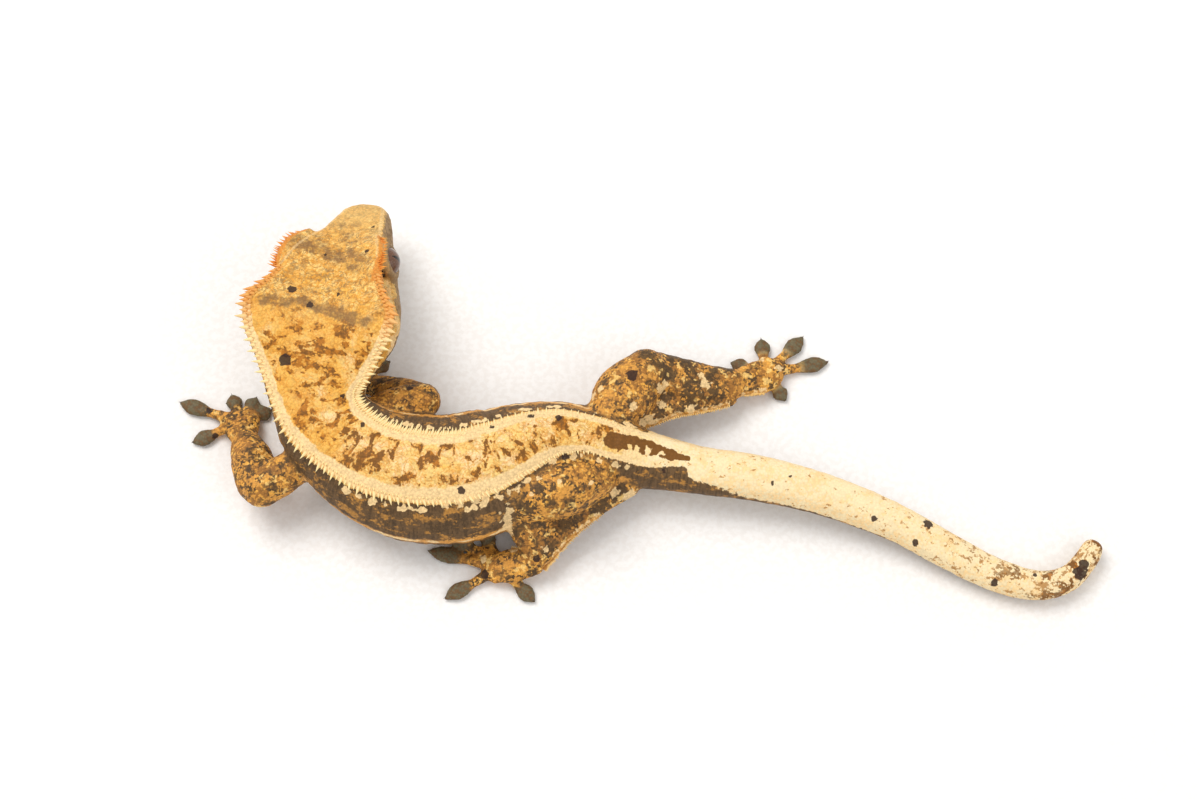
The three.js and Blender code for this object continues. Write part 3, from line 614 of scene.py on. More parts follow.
slow = noise_at(co, 0.55, 1)
fine = noise_at(co, 1.5, 2)
bend = noise_at(np.stack([s_of * 0.9, out_of * 0.22, up_of * 0.22], -1), 1, 3)
push += on_body * (0.09 * slow + 0.05 * fine)
push += 0.17 * bend * on_body * smoothstep(34, 44, s_of) * (1 - smoothstep(104, 116, s_of))
push += on_leg * (1 - on_toe) * (0.15 * slow + 0.08 * fine)
push += on_toe * 0.04 * fine
co = co + way * push[:, None]
co[:, 2] = np.maximum(co[:, 2], 0)
co[:, 0] -= TAIL_PULL * smoothstep(76, 87.6, co[:, 0])
set_coordinates(skin.data, co)

# Marking fields, and a painted highlight of the head, as numbers on the points. An edge is above 0 on the
# pale back, below it on the dark side.
abs_out = np.abs(out_of)
inside = crest_out(s_of) - abs_out
drop = crest_up(s_of) - up_of
turned_up = np.einsum("ij,ij->i", way, up)
past_hips = smoothstep(106, 113, s_of)
on_tail = on_body * past_hips
on_trunk = on_body * smoothstep(30, 38, s_of) * (1 - past_hips)
over_eye = (s_of > 8.5) & (s_of < 20.5)
rim = turned_up - tail_edge(s_of) + 0.12 * fine * smoothstep(120, 130, s_of)
shade_edge = np.where(s_of < 110, np.minimum(inside * 0.5 + 0.22, turned_up + 0.1), rim)
# Over the eyes the pale top reaches the ridges, and on the left of the tail root the dark side climbs.
shade_edge = np.where(over_eye, np.maximum(shade_edge, (turned_up - 0.4) * 0.8), shade_edge)
left_side = np.minimum((left_line(s_of) + out_of) * 0.5, turned_up + 0.2)
left_side += (rim - left_side) * smoothstep(121, 133, s_of)
shade_edge = np.where((s_of > 97) & (s_of < 134) & (out_of < 0), left_side, shade_edge)
past_brow = abs_out - np.where(out_of > 0, BROW_SHIFT[1], BROW_SHIFT[-1]) - brow_out(s_of)
orange_rim = on_body * over_eye * smoothstep(0.1, 0.9, past_brow) * (up_of > 17) * (turned_up > -0.4)
belly = on_body * smoothstep(-0.45, -0.85, turned_up)
width = stripe_width(s_of) * (1 + 0.2 * slow)
stripe = on_body * smoothstep(-0.6, 0.2, inside) * (1 - smoothstep(width * 0.7, width * 1.25, inside))
blotches = on_body * blotch_share(s_of) * (1 - 0.9 * stripe)
neck = on_body * smoothstep(22, 28, s_of) * (1 - smoothstep(46, 58, s_of))
out_share = abs_out / np.maximum(crest_out(s_of), 1)
# Painted highlight: the outer rear edges of the head, where the raised crest catches the light, lean towards
# the pale head colour.
head_rear_highlight = on_head * smoothstep(0.55, 0.95, out_share) * smoothstep(12, 20, s_of)
pearls = on_trunk * smoothstep(50, 58, s_of) * hump(drop, 0.9, 0.8) * (inside < 0.6)
hem_up = flank_up(s_of) + np.where(out_of < 0, 1.9, 4.2)
hem = on_trunk * smoothstep(42, 48, s_of) * hump(up_of, hem_up, 1) * (inside < -1.5)


def strokes_mask(strokes, soft):
    """A mask of painted strokes, each with the places it passes through, its half width and its strength."""
    mask = np.zeros(len(co))
    for places, width, strength in strokes:
        places = np.array(places, float)
        best = np.full(len(co), np.inf)
        for a, b in zip(places[:-1], places[1:]):
            t = np.clip(((co - a) @ (b - a)) / ((b - a) @ (b - a)), 0, 1)
            best = np.minimum(best, np.linalg.norm(co - a - np.outer(t, b - a), axis=1))
        painted = 1 - smoothstep(width * (1 - soft), width * (1 + soft), best)
        mask = np.maximum(mask, strength * painted)
    return mask


def dot_mask(dots, soft=0.3, rough=0.4):
    """A mask of small round spots, each a place in space and a radius, a little ragged."""
    mask = np.zeros(len(co))
    for x, y, z, radius in dots:
        gap = np.linalg.norm((co - (x, y, z)) * (1, 1, 0.6), axis=1) * (1 + rough * fine)
        mask = np.maximum(mask, 1 - smoothstep(radius * (1 - soft), radius * (1 + soft), gap))
    return mask


spots = dot_mask(BLACK_SPOTS) * (way[:, 2] > -0.1)
pale_spots = dot_mask(CREAM_SPOTS, 0.5, 0.8)
smudge = strokes_mask(HEAD_SMUDGES, 0.7)
wedge = strokes_mask(WEDGE_STROKES, 0.6) * (1 - 0.8 * dot_mask(WEDGE_GAPS, 0.6, 0.8))
pad = softened(np.where(kind == TOE, smoothstep(0.34, 0.5, measure[:, 0]), 0), 1)
is_shank = (measure[:, 0] >= LIMB_STAGE["shank"]) & (measure[:, 0] < LIMB_STAGE["foot"])
hind_shank = softened((kind == LEG) & (measure[:, 1] > 2) & is_shank, 6)


def rear_edge(leg):
    """Places and outward ways along the rear edge of a hind leg, from its root to its foot."""
    path = np.array(LEGS[leg]["web"] + LEGS[leg]["foot"][:2], float)
    shank = np.array(LEGS[leg]["shank"], float)
    made = []
    for a, b in zip(path[:-1], path[1:]):
        for t in np.arange(0, 1, 0.06):
            here = a + (b - a) * t
            along = unit(b[:3] - a[:3])
            out = unit(np.cross(along, (0, 0, 1)))
            if out.dot(shank[1][:3] - path[1][:3]) > 0:
                out = -out
            made.append((here[:3] + out * here[3] * 0.9 + (0, 0, 0.5), out))
    return made


edges_of_legs = [[place for place, _ in rear_edge(leg)][::4] for leg in HIND_LEGS]
edge_band = strokes_mask([(places, 0.8, 1) for places in edges_of_legs], 0.7)

write_values(skin.data, {
    "lay": np.stack([s_of, out_of, up_of], -1),
    "along": s_of, "head": on_head, "neck": neck, "tail": on_tail, "belly": belly, "lid": on_lid,
    "leg": on_leg * (1 - pad), "pad": pad, "hind_shank": hind_shank, "edge_band": edge_band * on_leg,
    "stripe": stripe, "blotches": blotches, "pearls": pearls, "hem": hem, "spots": spots,
    "pale_spots": pale_spots, "smudge": smudge * on_body, "wedge": wedge * on_body,
    "shade_edge": shade_edge, "orange_rim": orange_rim, "rear_edge": head_rear_highlight,
})
shade_smooth(skin.data)
print("skin points", len(co), "faces", len(skin.data.polygons))


# Shader values

def srgb(r, g, b):
    """A colour given as seen on a screen, 0 to 255, as linear light."""
    return tuple(((c / 255 + 0.055) / 1.055) ** 2.4 if c > 10 else c / 255 / 12.92 for c in (r, g, b)) + (1,)


class Value:
    """A shader value that adds, multiplies and compares like a number."""

    def __init__(self, socket):
        self.socket = socket

    @staticmethod
    def node(kind, values=(), out=0, **settings):
        """One node of the current material: its settings, then the values or links of its sockets."""
        made = Value.tree.nodes.new("ShaderNode" + kind)
        for key, value in settings.items():
            setattr(made, key, value)
        pairs = values.items() if isinstance(values, dict) else enumerate(values)
        for key, value in pairs:
            if isinstance(value, Value):
                Value.tree.links.new(value.socket, made.inputs[key])
            elif value is not None:
                made.inputs[key].default_value = value
        return Value(made.outputs[out])

    def math(self, operation, other=None, swap=False):
        values = (other, self) if swap else (self, other)
        return Value.node("Math", values, operation=operation)

    def __add__(self, other):
        return self.math("ADD", other)

    def __sub__(self, other):
        return self.math("SUBTRACT", other)

    def __rsub__(self, other):
        return self.math("SUBTRACT", other, swap=True)

    def __mul__(self, other):
        return self.math("MULTIPLY", other)

    __radd__ = __add__
    __rmul__ = __mul__

    def above(self, low, high):
        """0 below low, 1 above high, smooth between."""
        return Value.node("MapRange", (self, low, high, 0.0, 1.0), interpolation_type="SMOOTHSTEP")

    def below(self, low, high):
        return 1 - self.above(low, high)


def number(name):
    return Value.node("Attribute", attribute_name=name, out="Fac")


def vector(name):
    return Value.node("Attribute", attribute_name=name, out="Vector")


def scaled(place, size):
    """A vector times one number or three."""
    size = size if isinstance(size, tuple) else (size, size, size)
    return Value.node("VectorMath", (place, size), operation="MULTIPLY")


def cloud(place, scale, detail=3.0, roughness=0.55, distortion=0.0):
    return Value.node("TexNoise", {"Vector": place, "Scale": scale, "Detail": detail, "Roughness": roughness,
                                   "Distortion": distortion})


def cells(place, scale, out="Distance"):
    return Value.node("TexVoronoi", {"Vector": place, "Scale": scale}, out=out)


def mixed(a, b, amount):
    return Value.node("Mix", {0: amount, 6: a, 7: b}, out=2, data_type="RGBA")


def layered(colour, *layers):
    """A colour with others laid over it in turn, each a colour and its mask."""
    for over, mask in layers:
        colour = mixed(colour, over, mask)
    return colour


def shaded(colour, light):
    """A colour made lighter or darker by a value around 1."""
    grey = Value.node("CombineColor", (light, light, light))
    return Value.node("Mix", {0: 1.0, 6: colour, 7: grey}, out=2, data_type="RGBA", blend_type="MULTIPLY")


def place_mm():
    """The place on the piece, in millimetres."""
    return scaled(Value.node("TexCoord", out="Object"), 1 / MM)


def material(name):
    made = bpy.data.materials.new(name)
    made.use_nodes = True
    Value.tree = made.node_tree
    shader = made.node_tree.nodes["Principled BSDF"]
    return made, shader


def connect(shader, socket, value):
    if isinstance(value, Value):
        Value.tree.links.new(value.socket, shader.inputs[socket])
    else:
        shader.inputs[socket].default_value = value


def bump(height, strength, distance):
    inputs = {"Strength": strength, "Distance": distance * MM, "Height": height}
    return Value.node("Bump", inputs, out="Normal")


CREAM = srgb(248, 206, 124)
PALE_CREAM = srgb(249, 213, 154)
TAIL_CREAM = srgb(250, 227, 180)
GOLD = srgb(240, 177, 72)
DEEP_GOLD = srgb(218, 143, 40)
BROWN = srgb(184, 113, 24)
DARK_BROWN = srgb(122, 77, 22)
SMOKE = srgb(110, 82, 50)
UMBER = srgb(84, 62, 36)
HEAD_TAN = srgb(237, 181, 92)
HEAD_SMUDGE = srgb(134, 98, 58)
HEAD_SIDE = srgb(164, 132, 90)
ORANGE = srgb(222, 156, 68)
RUST = srgb(172, 116, 50)
LEG_BROWN = srgb(106, 78, 42)
OLIVE = srgb(112, 101, 74)
NEAR_BLACK = srgb(52, 30, 20)
BELLY_GREY = srgb(206, 188, 158)
SNOUT = srgb(222, 182, 112)
HEAD_LIGHT = srgb(250, 210, 130)
HEM_GOLD = srgb(232, 164, 76)
RIM_ORANGE = srgb(220, 138, 48)
SPINE_CREAM, SPINE_ORANGE = srgb(246, 222, 160), srgb(228, 158, 78)
LASH_ROOT, LASH_TIP = srgb(212, 120, 34), srgb(240, 160, 58)
CLAW_ROOT, CLAW_TIP = srgb(120, 96, 70), srgb(58, 44, 32)
IRIS, IRIS_DARK, IRIS_VEIN = srgb(112, 76, 56), srgb(72, 48, 36), srgb(172, 140, 116)
IRIS_RIM, PUPIL = srgb(60, 42, 34), srgb(12, 8, 6)
CARD, CARD_GREY = srgb(250, 248, 246), srgb(244, 241, 238)

SCALES_PER_MM = 2.3
TAIL_ROW = 0.62  # millimetres between the rings of scales on the tail


def skin_colour(place):
    """The gecko's markings as a colour, darkened by painted shade between its small scales, with the height
    of its scales and a slow cloud.
    """
    lay, along, share = vector("lay"), number("along"), number("blotches")
    granules = cells(place, SCALES_PER_MM)
    jitter = Value.node("SeparateColor", (cells(place, SCALES_PER_MM, out="Color"),)) - 0.5
    warp = cloud(place, 0.9, 3.0, 0.6)
    patches = cloud(place, 0.42, 2.5, 0.5, 0.5)
    veins = (cloud(place, 0.34, 3.0, 0.6, 1.2) - 0.5).math("ABSOLUTE")
    marble = (cloud(place, 0.55, 4.0, 0.62, 0.8) - 0.5).math("ABSOLUTE")

    def grain(scale, speckle, *shape):
        """A cloud with a step of its own for each small scale of the skin."""
        return cloud(place, scale, *shape) + jitter * speckle

    def drawn_out(stretch, *shape):
        """A cloud with a scale of its own along the body, across it and upwards."""
        return cloud(scaled(lay, stretch), *shape)

    # The back
    gold = grain(0.2, 0.16, 2.0, 0.5, 0.4) - along.above(44.0, 64.0) * 0.15 + number("neck") * 0.08
    raw = drawn_out((0.5, 0.3, 0.3), 1.0, 3.0, 0.5, 0.7) + (patches - 0.5) * 0.3 + (warp - 0.5) * 0.2
    raw = raw + jitter * 0.1 + (share - 1) * 0.2
    marked = share.above(0.05, 0.3)
    brown = mixed(BROWN, DARK_BROWN, (warp + jitter * 0.16 - number("neck") * 0.12).above(0.34, 0.5))
    field = layered(
        CREAM,
        (PALE_CREAM, grain(0.3, 0.25, 2.0).above(0.45, 0.62)),
        (GOLD, gold.above(0.34, 0.62) * 0.85),
        (DEEP_GOLD, marble.below(0.012, 0.06) * share * 0.6),
        (DEEP_GOLD, raw.above(0.49, 0.56) * marked * 0.8),
        (brown, raw.above(0.535, 0.585) * marked * 0.95),
    )

    # The head
    # Pale cream patches of the head: partly its own pale patches, partly a painted highlight that grows
    # towards the outer rear edges.
    pale_and_highlight = grain(0.36, 0.2, 3.0, 0.55, 0.5) + number("rear_edge") * 0.14
    smudged = number("smudge") + (cloud(place, 0.6, 4.0, 0.65) - 0.5) * 2.4 + jitter * 0.15
    pale = number("stripe") + jitter * 0.3 + (warp - 0.5) * 0.5
    head = layered(
        HEAD_TAN,
        (GOLD, (grain(0.25, 0.2) + along.above(14.0, 30.0) * 0.12).above(0.45, 0.65)),
        (CREAM, grain(0.5, 0.25, 3.0, 0.65).above(0.5, 0.7) * 0.35),
        (HEAD_LIGHT, pale_and_highlight.above(0.5, 0.62) * 0.75),
        (HEAD_SMUDGE, veins.below(0.008, 0.035) * 0.7),
        (DEEP_GOLD, marble.below(0.01, 0.045) * 0.75),
        (HEAD_SMUDGE, grain(0.6, 0.15, 4.0, 0.62, 0.3).above(0.53, 0.66) * 0.5),
        (SNOUT, along.below(3.0, 13.0) * 0.6),
    )

    # The top of the tail
    tip = along.above(146.0, 200.0)
    specks = drawn_out((0.7, 1.0, 1.0), 0.9, 4.0, 0.62)
    tail = layered(
        TAIL_CREAM,
        (PALE_CREAM, grain(0.3, 0.4, 2.0).above(0.42, 0.66)),
        (RUST, (specks + jitter * 0.16 + tip * 0.14).above(0.64, 0.7) * 0.8),
        (brown, (patches + jitter * 0.16 + (tip - 1) * 0.22).above(0.5, 0.56) * tip),
    )
    wedge = number("wedge") + (cloud(place, 1.1, 3.0, 0.6) - 0.5) * 1.1
    field = layered(
        field,
        (head, number("head")),
        (HEAD_SMUDGE, smudged.above(0.3, 1.0) * 0.8),
        (PALE_CREAM, pale.above(0.3, 0.7) * (1 - 0.6 * number("head"))),
        (tail, number("tail")),
        (DARK_BROWN, wedge.above(0.42, 0.56)),
    )

    # The flanks and cheeks
    lines = drawn_out((2.4, 0.25, 0.25), 1.0, 2.0)
    glow = drawn_out((0.3, 0.45, 0.45), 1.0, 3.0, 0.6)
    blobs = drawn_out((0.8, 0.4, 0.4), 1.0, 1.5)
    hem = number("hem")
    side = layered(
        SMOKE,
        (UMBER, (lines + jitter * 0.2).above(0.4, 0.62)),
        (ORANGE, (glow + jitter * 0.16).above(0.52, 0.66) * 0.6),
        (PALE_CREAM, (number("pearls") * 0.42 + blobs + jitter * 0.06).above(0.9, 0.95)),
        (HEM_GOLD, (hem + (patches - 0.5) + jitter * 0.3).above(0.3, 0.8) * 0.85),
        (PALE_CREAM, (hem * 0.42 + drawn_out((0.3, 0.3, 0.3), 1.0, 1.5)).above(0.88, 0.94)),
        (mixed(HEAD_SIDE, SMOKE, (warp + jitter * 0.2).above(0.5, 0.66) * 0.7), number("head")),
    )

    # The legs
    stage = number("hind_shank")
    band = number("edge_band") + (warp - 0.5) * 0.8 + jitter * 0.4
    leg = layered(
        UMBER,
        (LEG_BROWN, (warp + jitter * 0.2).above(0.36, 0.56)),
        (RUST, (grain(0.26, 0.14, 3.0, 0.6) - stage * 0.06).above(0.43, 0.54) * 0.95),
        (ORANGE, (grain(0.4, 0.22, 3.5, 0.6) - stage * 0.1).above(0.46, 0.55) * 0.92),
        (GOLD, (grain(0.5, 0.3, 3.0, 0.6) - stage * 0.1).above(0.54, 0.66) * 0.6),
        (UMBER, grain(0.75, 0.16, 3.0, 0.62).above(0.56, 0.64) * 0.75),
        (CREAM, grain(0.5, 0.14, 1.5).above(0.63, 0.7) * 0.7),
        (mixed(ORANGE, PALE_CREAM, (warp + jitter * 0.2).above(0.4, 0.6)), band.above(0.35, 0.7) * 0.9),
    )

    ragged = (cloud(place, 1.3, 3.0, 0.6) - 0.5) * 0.3
    dots = number("pale_spots") + jitter * 0.4 + (warp - 0.5) * 0.6
    colour = layered(
        side,
        (field, (number("shade_edge") + jitter * 0.1 + ragged).above(-0.03, 0.05)),
        (RIM_ORANGE, (number("orange_rim") + jitter * 0.4).above(0.3, 0.6) * 0.85),
        (leg, number("leg")),
        (PALE_CREAM, dots.above(0.35, 0.65) * 0.85),
        (mixed(OLIVE, SMOKE, (warp + jitter * 0.3).above(0.45, 0.6)), number("pad")),
        (mixed(BELLY_GREY, SMOKE, (warp + jitter).above(0.6, 0.7)), number("belly") * 0.9),
        (HEAD_SIDE, number("lid") * 0.8),
        (NEAR_BLACK, (number("spots") + jitter * 0.3).above(0.4, 0.6) * 0.94),
    )
    # Painted shade: each small scale is made darker towards its edges, standing in for the shade in the gaps
    # between the scales, less on the smoother tail. Each scale also takes a random step of tone.
    smooth = number("tail") * 0.45
    light = 1.12 - smooth * 0.12 - granules * (0.42 - smooth * 0.5) + jitter * 0.14 * (1 - smooth)
    return shaded(colour, light), granules, warp


skin_finish, shader = material("gecko skin")
colour, granules, warp = skin_colour(place_mm())
rows = (number("along") * (2 * math.pi / TAIL_ROW)).math("SINE") * number("tail")
connect(shader, "Base Color", colour)
connect(shader, "Roughness", 0.62 + (warp - 0.5) * 0.2)
connect(shader, "Specular IOR Level", 0.3)
connect(shader, "Normal", bump(1 - granules + rows * 0.16, 0.55, 0.11))
skin.data.materials.clear()
skin.data.materials.append(skin_finish)
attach(skin, "root")
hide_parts(*[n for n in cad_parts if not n.startswith("eye_")])

# Spines of the crest and brows, the fringe of the hind legs and the claws, all from one rule.
# A root is a place, a way to grow, a length, a root radius and an orange share.

CREST_FROM, CREST_TO = 19.0, 104
# Share of the gap to the next spine, reach inward, share of the length
SMALL_SPINES = ((0.5, 0.1, 0.62), (0.25, 0.75, 0.5), (0.75, 0.8, 0.42))
# Share of the ridge's half width, share of the length
LASH_ROWS = ((0.85, 1), (0.5, 0.7), (0.15, 0.5))
CREST_SEEDS, BROW_SEEDS, FRINGE_SEED = {-1: 9311, 1: 4127}, {-1: 2861, 1: 733}, 517


def chance_from(seed):
    """A repeatable run of numbers between 0 and 1."""
    state, stride, largest = seed, 16807, 2 ** 31 - 1

    def draw():
        nonlocal state
        state = state * stride % largest
        return state / largest

    return draw


def crest_roots():
    """The crest from the eyes to the hips: the spines of the solids, and smaller ones between them."""
    made = []
    for side in (-1, 1):
        chance = chance_from(CREST_SEEDS[side])
        s = CREST_FROM
        while s < CREST_TO:
            ahead = float(spine_step(s)) * (0.88 + 0.24 * chance())
            size, lean = 0.8 + 0.4 * chance(), 0.1 + 0.35 * chance()
            _, forward, right, up = section_frame(s)
            root = body_place(s, side * crest_out(s), crest_up(s))
            aim = unit(right * side + up * 0.4 - forward * lean)
            orange = float(1 - smoothstep(26, 34, s))
            made.append((root, aim, spine_length(s) * size, spine_root(s), orange))
            for gap, inward, share in SMALL_SPINES:
                at = min(s + gap * ahead, CREST_TO)
                root = body_place(at, side * (crest_out(at) - inward), crest_up(at) + 0.25 * inward)
                aim = unit(right * side + up * (0.4 + inward) - forward * lean)
                made.append((root, aim, spine_length(at) * share, spine_root(at) * 0.75, orange))
            s += ahead
    return made


def brow_roots():
    """Three rows of lashes on the ridge over each eye, longer at the back of the right one."""
    made = []
    for side in (-1, 1):
        chance = chance_from(BROW_SEEDS[side])
        for s in np.arange(BROW_FROM, BROW_TO + 0.01, 0.45):
            for row, (reach_out, share) in enumerate(LASH_ROWS):
                _, forward, right, up = section_frame(s)
                root = brow_place(s + 0.15 * row, side, reach_out * BROW_WIDE[side])
                way_out = unit(right * side + up * (0.4 + 0.5 * row) + forward * (0.5 * chance() - 0.1))
                long = (LASH_LONG[side] + 0.4 * chance()) * share
                if side > 0:
                    long *= 1 + 0.8 * float(smoothstep(13, 17.5, s))
                made.append((root, way_out, long, 0.28, 1.0))
    return made


def fringe_roots():
    """Little points along the rear edge of the hind legs."""
    made = []
    chance = chance_from(FRINGE_SEED)
    for leg in HIND_LEGS:
        for root, out in rear_edge(leg):
            made.append((root, unit(out + (0, 0, 0.2)), 0.6 + 0.3 * chance(), 0.24, 0.45))
    return made


def claw_roots():
    made = []
    for data in LEGS.values():
        for tip in data["toes"]:
            along = unit([tip[0] - data["palm"][0], tip[1] - data["palm"][1], 0])
            root = np.array([tip[0], tip[1], 0.62]) - along * 0.5
            made.append((root, unit(along + (0, 0, 0.12)), 0.85, 0.24, 0.0))
    return made


def spine_tree(finish):
    """Geometry nodes that grow one curved cone from each root point."""
    tree = bpy.data.node_groups.new("grow spines", "GeometryNodeTree")
    face = tree.interface
    face.new_socket("Geometry", in_out="INPUT", socket_type="NodeSocketGeometry")
    for name, value in (("Length share", 1.0), ("Root share", 1.0), ("Crook", 0.12), ("Length spread", 0.1)):
        face.new_socket(name, in_out="INPUT", socket_type="NodeSocketFloat").default_value = value
    face.new_socket("Sides", in_out="INPUT", socket_type="NodeSocketInt").default_value = 8
    face.new_socket("Geometry", in_out="OUTPUT", socket_type="NodeSocketGeometry")

    def node(kind, values=None, **settings):
        made = tree.nodes.new(kind)
        for key, value in settings.items():
            setattr(made, key, value)
        for key, value in (values or {}).items():
            if hasattr(value, "is_output"):
                tree.links.new(value, made.inputs[key])
            else:
                made.inputs[key].default_value = value
        return made

    def maths(operation, a, b):
        return node("ShaderNodeMath", {0: a, 1: b}, operation=operation).outputs[0]

    def stored(name, kind="FLOAT"):
        return node("GeometryNodeInputNamedAttribute", {"Name": name}, data_type=kind).outputs["Attribute"]

    given = node("NodeGroupInput").outputs
    cone = node("GeometryNodeMeshCone", {"Vertices": given["Sides"], "Side Segments": 5, "Radius Top": 0.06,
                                         "Radius Bottom": 1.0, "Depth": 1.0})
    spot = node("ShaderNodeSeparateXYZ", {0: node("GeometryNodeInputPosition").outputs[0]}).outputs
    crook = maths("MULTIPLY", maths("MULTIPLY", spot["Z"], spot["Z"]), given["Crook"])
    shift = node("ShaderNodeCombineXYZ", {"X": crook}).outputs[0]
    marked = node("GeometryNodeStoreNamedAttribute", {"Geometry": cone.outputs["Mesh"], "Name": "rise",
                                                      "Value": spot["Z"]}, data_type="FLOAT", domain="POINT")
    bent = node("GeometryNodeSetPosition", {"Geometry": marked.outputs[0], "Offset": shift})
    low = maths("SUBTRACT", 1.0, given["Length spread"])
    high = maths("ADD", 1.0, given["Length spread"])
    spread = node("FunctionNodeRandomValue", {2: low, 3: high, "Seed": 7}, data_type="FLOAT")
    tall = maths("MULTIPLY", maths("MULTIPLY", stored("tall"), given["Length share"]), spread.outputs[1])
    wide = maths("MULTIPLY", stored("wide"), given["Root share"])
    size = node("ShaderNodeCombineXYZ", {"X": wide, "Y": wide, "Z": tall}).outputs[0]
    turn = node("FunctionNodeAlignRotationToVector", {"Vector": stored("aim", "FLOAT_VECTOR")}, axis="Z")
    roots = node("GeometryNodeMeshToPoints", {"Mesh": given["Geometry"]})
    grown = node("GeometryNodeInstanceOnPoints", {"Points": roots.outputs[0], "Instance": bent.outputs[0],
                                                  "Rotation": turn.outputs[0], "Scale": size})
    real = node("GeometryNodeRealizeInstances", {"Geometry": grown.outputs[0]})
    smooth = node("GeometryNodeSetShadeSmooth", {"Geometry": real.outputs[0]})
    dressed = node("GeometryNodeSetMaterial", {"Geometry": smooth.outputs[0], "Material": finish})
    last = node("NodeGroupOutput")
    tree.links.new(dressed.outputs[0], last.inputs[0])
    return tree


def grow(name, roots, finish, slot, sink=0.5, **sizes):
    """One mesh of all the spines that stand on these roots."""
    places, ways, lengths, radii, orange = (np.array(measure) for measure in zip(*roots))
    seedbed = mesh_object(name + " roots", places - ways * sink, [])
    tall = (lengths + sink) * MM
    write_values(seedbed.data, {"aim": ways, "tall": tall, "wide": radii * MM, "orange": orange})
    tree = spine_tree(finish)
    growth = seedbed.modifiers.new("growth", "NODES")
    growth.node_group = tree
    for item in tree.interface.items_tree:
        if item.in_out == "INPUT" and item.name in sizes:
            growth[item.identifier] = sizes[item.name]
    made = baked(seedbed, name)
    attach(made, "root")


spine_finish, shader = material("crest spines")
place, rise = place_mm(), number("rise")
roots_colour = mixed(PALE_CREAM, ORANGE, number("orange"))
tips_colour = mixed(SPINE_CREAM, SPINE_ORANGE, number("orange"))
spine_colour = mixed(roots_colour, tips_colour, rise.above(0.1, 0.7))
connect(shader, "Base Color", shaded(spine_colour, cloud(place, 1.5, 2.0) * 0.3 + 0.86))
connect(shader, "Roughness", 0.5 + rise * 0.1)
connect(shader, "Normal", bump(cells(place, 4.0), 0.3, 0.05))
crest_sizes = {"Length share": 0.97, "Length spread": 0.05}
grow("crest_spines", crest_roots(), spine_finish, "skin_pattern", **crest_sizes)

lash_finish, shader = material("orange lashes")
connect(shader, "Base Color", mixed(LASH_ROOT, LASH_TIP, number("rise").above(0.3, 0.8)))
connect(shader, "Roughness", 0.5 + cloud(place_mm(), 2.0) * 0.1)
grow("brow_lashes", brow_roots(), lash_finish, "skin_pattern", sink=0.35, Crook=0.25)

fringe_finish, shader = material("leg fringe")
fringe_mask = number("rise") + cloud(place_mm(), 0.8) - 0.5
connect(shader, "Base Color", mixed(RUST, CREAM, fringe_mask.above(0.3, 0.7)))
connect(shader, "Roughness", 0.6)
grow("leg_fringe", fringe_roots(), fringe_finish, "skin_dark", sink=0.3, Sides=6)

claw_finish, shader = material("claw horn")
connect(shader, "Base Color", mixed(CLAW_ROOT, CLAW_TIP, number("rise").above(0.2, 0.8)))
connect(shader, "Roughness", 0.35)
grow("claws", claw_roots(), claw_finish, "toe_pad", sink=0.3, Crook=-0.3, **{"Length spread": 0.0})

# Eyes: a glossy ball with a veined iris and an upright, ragged slit

EYE_RINGS, EYE_SIDES = 40, 56
EYE_FIT = 0.985  # the ball's share of the solid's radius, which keeps it inside
CORNEA = 0.02  # how far the cornea bulges, as a share of the radius


def eye_ball(name, side):
    look, across, above = eye_axes(side)
    turn = 2 * np.pi * np.arange(EYE_SIDES) / EYE_SIDES
    circle = np.stack([np.cos(turn), np.sin(turn), 0 * turn], -1)
    polar = np.pi * np.arange(1, EYE_RINGS) / EYE_RINGS
    rings = [math.sin(angle) * circle + (0, 0, math.cos(angle)) for angle in polar]
    gaze, faces = loft(rings, [(0, 0, 1), (0, 0, -1)])
    bulge = 1 + CORNEA * smoothstep(0.75, 1, gaze[:, 2:])
    ball = eye_centre(side) + EYE["radius"] * EYE_FIT * bulge * (gaze @ np.stack([across, above, look]))
    if np.cross(across, above).dot(look) < 0:
        faces = [face[::-1] for face in faces]
    made = mesh_object(name, ball, faces)
    write_values(made.data, {"gaze": gaze})
    shade_smooth(made.data)
    return made


eye_finish, shader = material("wet eye")
gaze = vector("gaze")
parts = Value.node("SeparateXYZ", (gaze,)).socket.node.outputs
gaze_x, gaze_y = Value(parts["X"]), Value(parts["Y"])
ring = (gaze_x * gaze_x + gaze_y * gaze_y).math("SQRT")
veins = cloud(scaled(gaze, (9.0, 9.0, 2.0)), 1.0, 4.0, 0.7, 1.5)
ragged = cloud(scaled(gaze, (0.0, 8.0, 0.0)), 1.0, 1.0) * 0.12
slit = gaze_x.math("ABSOLUTE") + ragged + gaze_y * gaze_y * 0.32
connect(shader, "Base Color", layered(
    IRIS,
    (IRIS_DARK, veins.above(0.4, 0.65)),
    (IRIS_VEIN, (veins + 0.1 * gaze_y).above(0.56, 0.7) * 0.6),
    (IRIS_RIM, ring.above(0.72, 0.95)),
    (PUPIL, slit.below(0.15, 0.2)),
))
connect(shader, "Roughness", 0.09)
connect(shader, "Coat Weight", 0.2)
connect(shader, "Coat Roughness", 0.03)
connect(shader, "Specular IOR Level", 0.4)
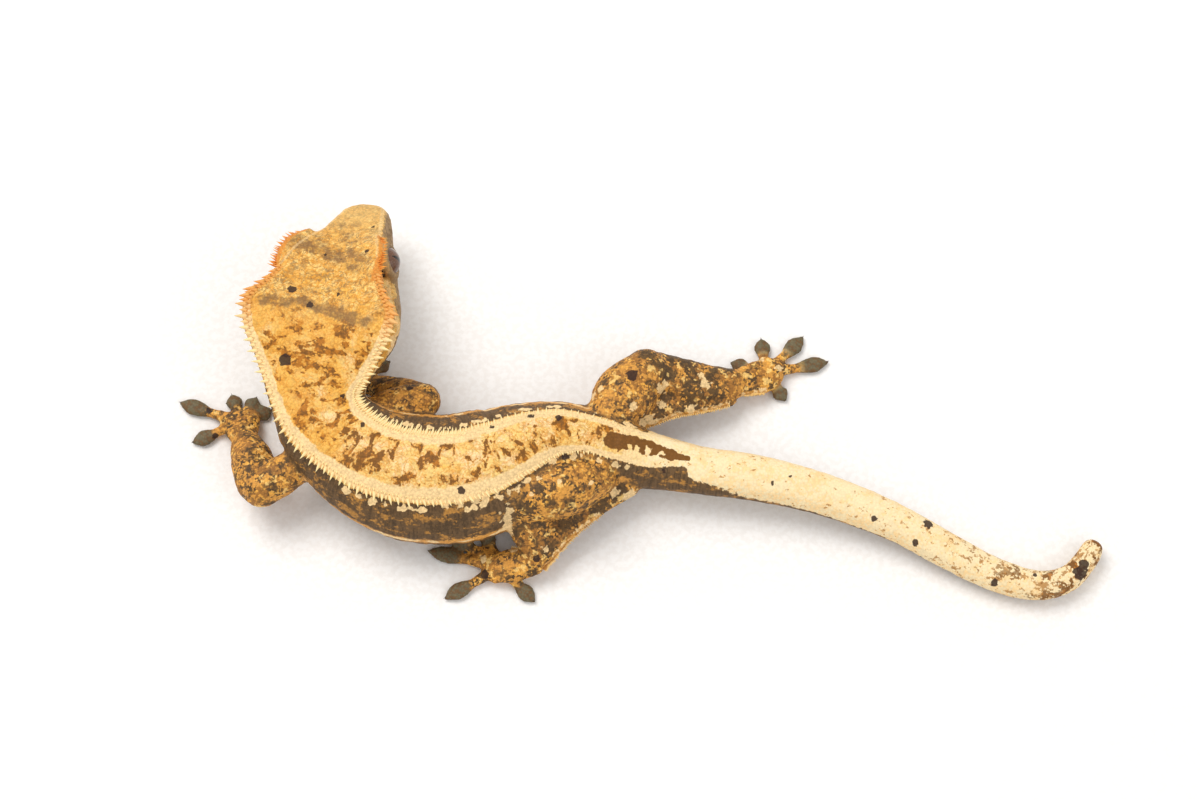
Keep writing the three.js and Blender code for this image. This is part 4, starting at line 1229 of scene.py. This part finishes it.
for side, name in ((-1, "left"), (1, "right")):
    eye = eye_ball(name + "_eyeball", side)
    eye.data.materials.append(eye_finish)
    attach(eye, "root")
    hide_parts("eye_" + name)

# Camera, light and floor

LENS, SENSOR = 85, 36
PHOTO_WIDTH, PIXELS_PER_MM = 1200, 5.3
ELEVATION = math.radians(70)
AIM = Vector((-6.4, -0.4, 6)) * MM
FLOOR_HALF, FLOOR_DROP = 2500, 0.3

camera_data = bpy.data.cameras.new("camera")
camera_data.lens = LENS
camera_data.sensor_width = SENSOR
camera_data.clip_start = 0.01
camera = linked("camera", camera_data)
distance = PHOTO_WIDTH / PIXELS_PER_MM * LENS / SENSOR * MM
camera.location = AIM + Vector((0, -math.cos(ELEVATION), math.sin(ELEVATION))) * distance
camera.rotation_euler = (math.radians(90) - ELEVATION, 0, 0)
bpy.context.scene.camera = camera


def softbox(name, place, size, power, colour=(1, 1, 1)):
    data = bpy.data.lights.new(name, "AREA")
    data.shape = "RECTANGLE"
    data.size, data.size_y = size
    data.energy = power
    data.color = colour
    lamp = linked(name, data)
    lamp.location = place
    lamp.rotation_euler = (-Vector(place)).to_track_quat("-Z", "Y").to_euler()


softbox("key softbox", (-0.35, 0.3, 0.75), (0.5, 0.5), 4.6, (1, 0.98, 0.95))
softbox("fill softbox", (0.6, -0.45, 0.6), (0.9, 0.7), 2)
world = bpy.data.worlds.new("studio")
bpy.context.scene.world = world
world.use_nodes = True
world.node_tree.nodes["Background"].inputs["Color"].default_value = (1, 1, 1, 1)
world.node_tree.nodes["Background"].inputs["Strength"].default_value = 0.66
bpy.context.scene.view_settings.view_transform = "Standard"

corners = [(x * FLOOR_HALF, y * FLOOR_HALF, 0) for x, y in ((-1, -1), (1, -1), (1, 1), (-1, 1))]
floor = mesh_object("floor", corners, [(0, 1, 2, 3)])
floor.location.z = -FLOOR_DROP * MM
floor_finish, shader = material("white card")
card = cloud(Value.node("TexCoord", out="Object"), 900.0)
connect(shader, "Base Color", mixed(CARD, CARD_GREY, card.above(0.4, 0.6)))
connect(shader, "Roughness", 0.8)
floor.data.materials.append(floor_finish)
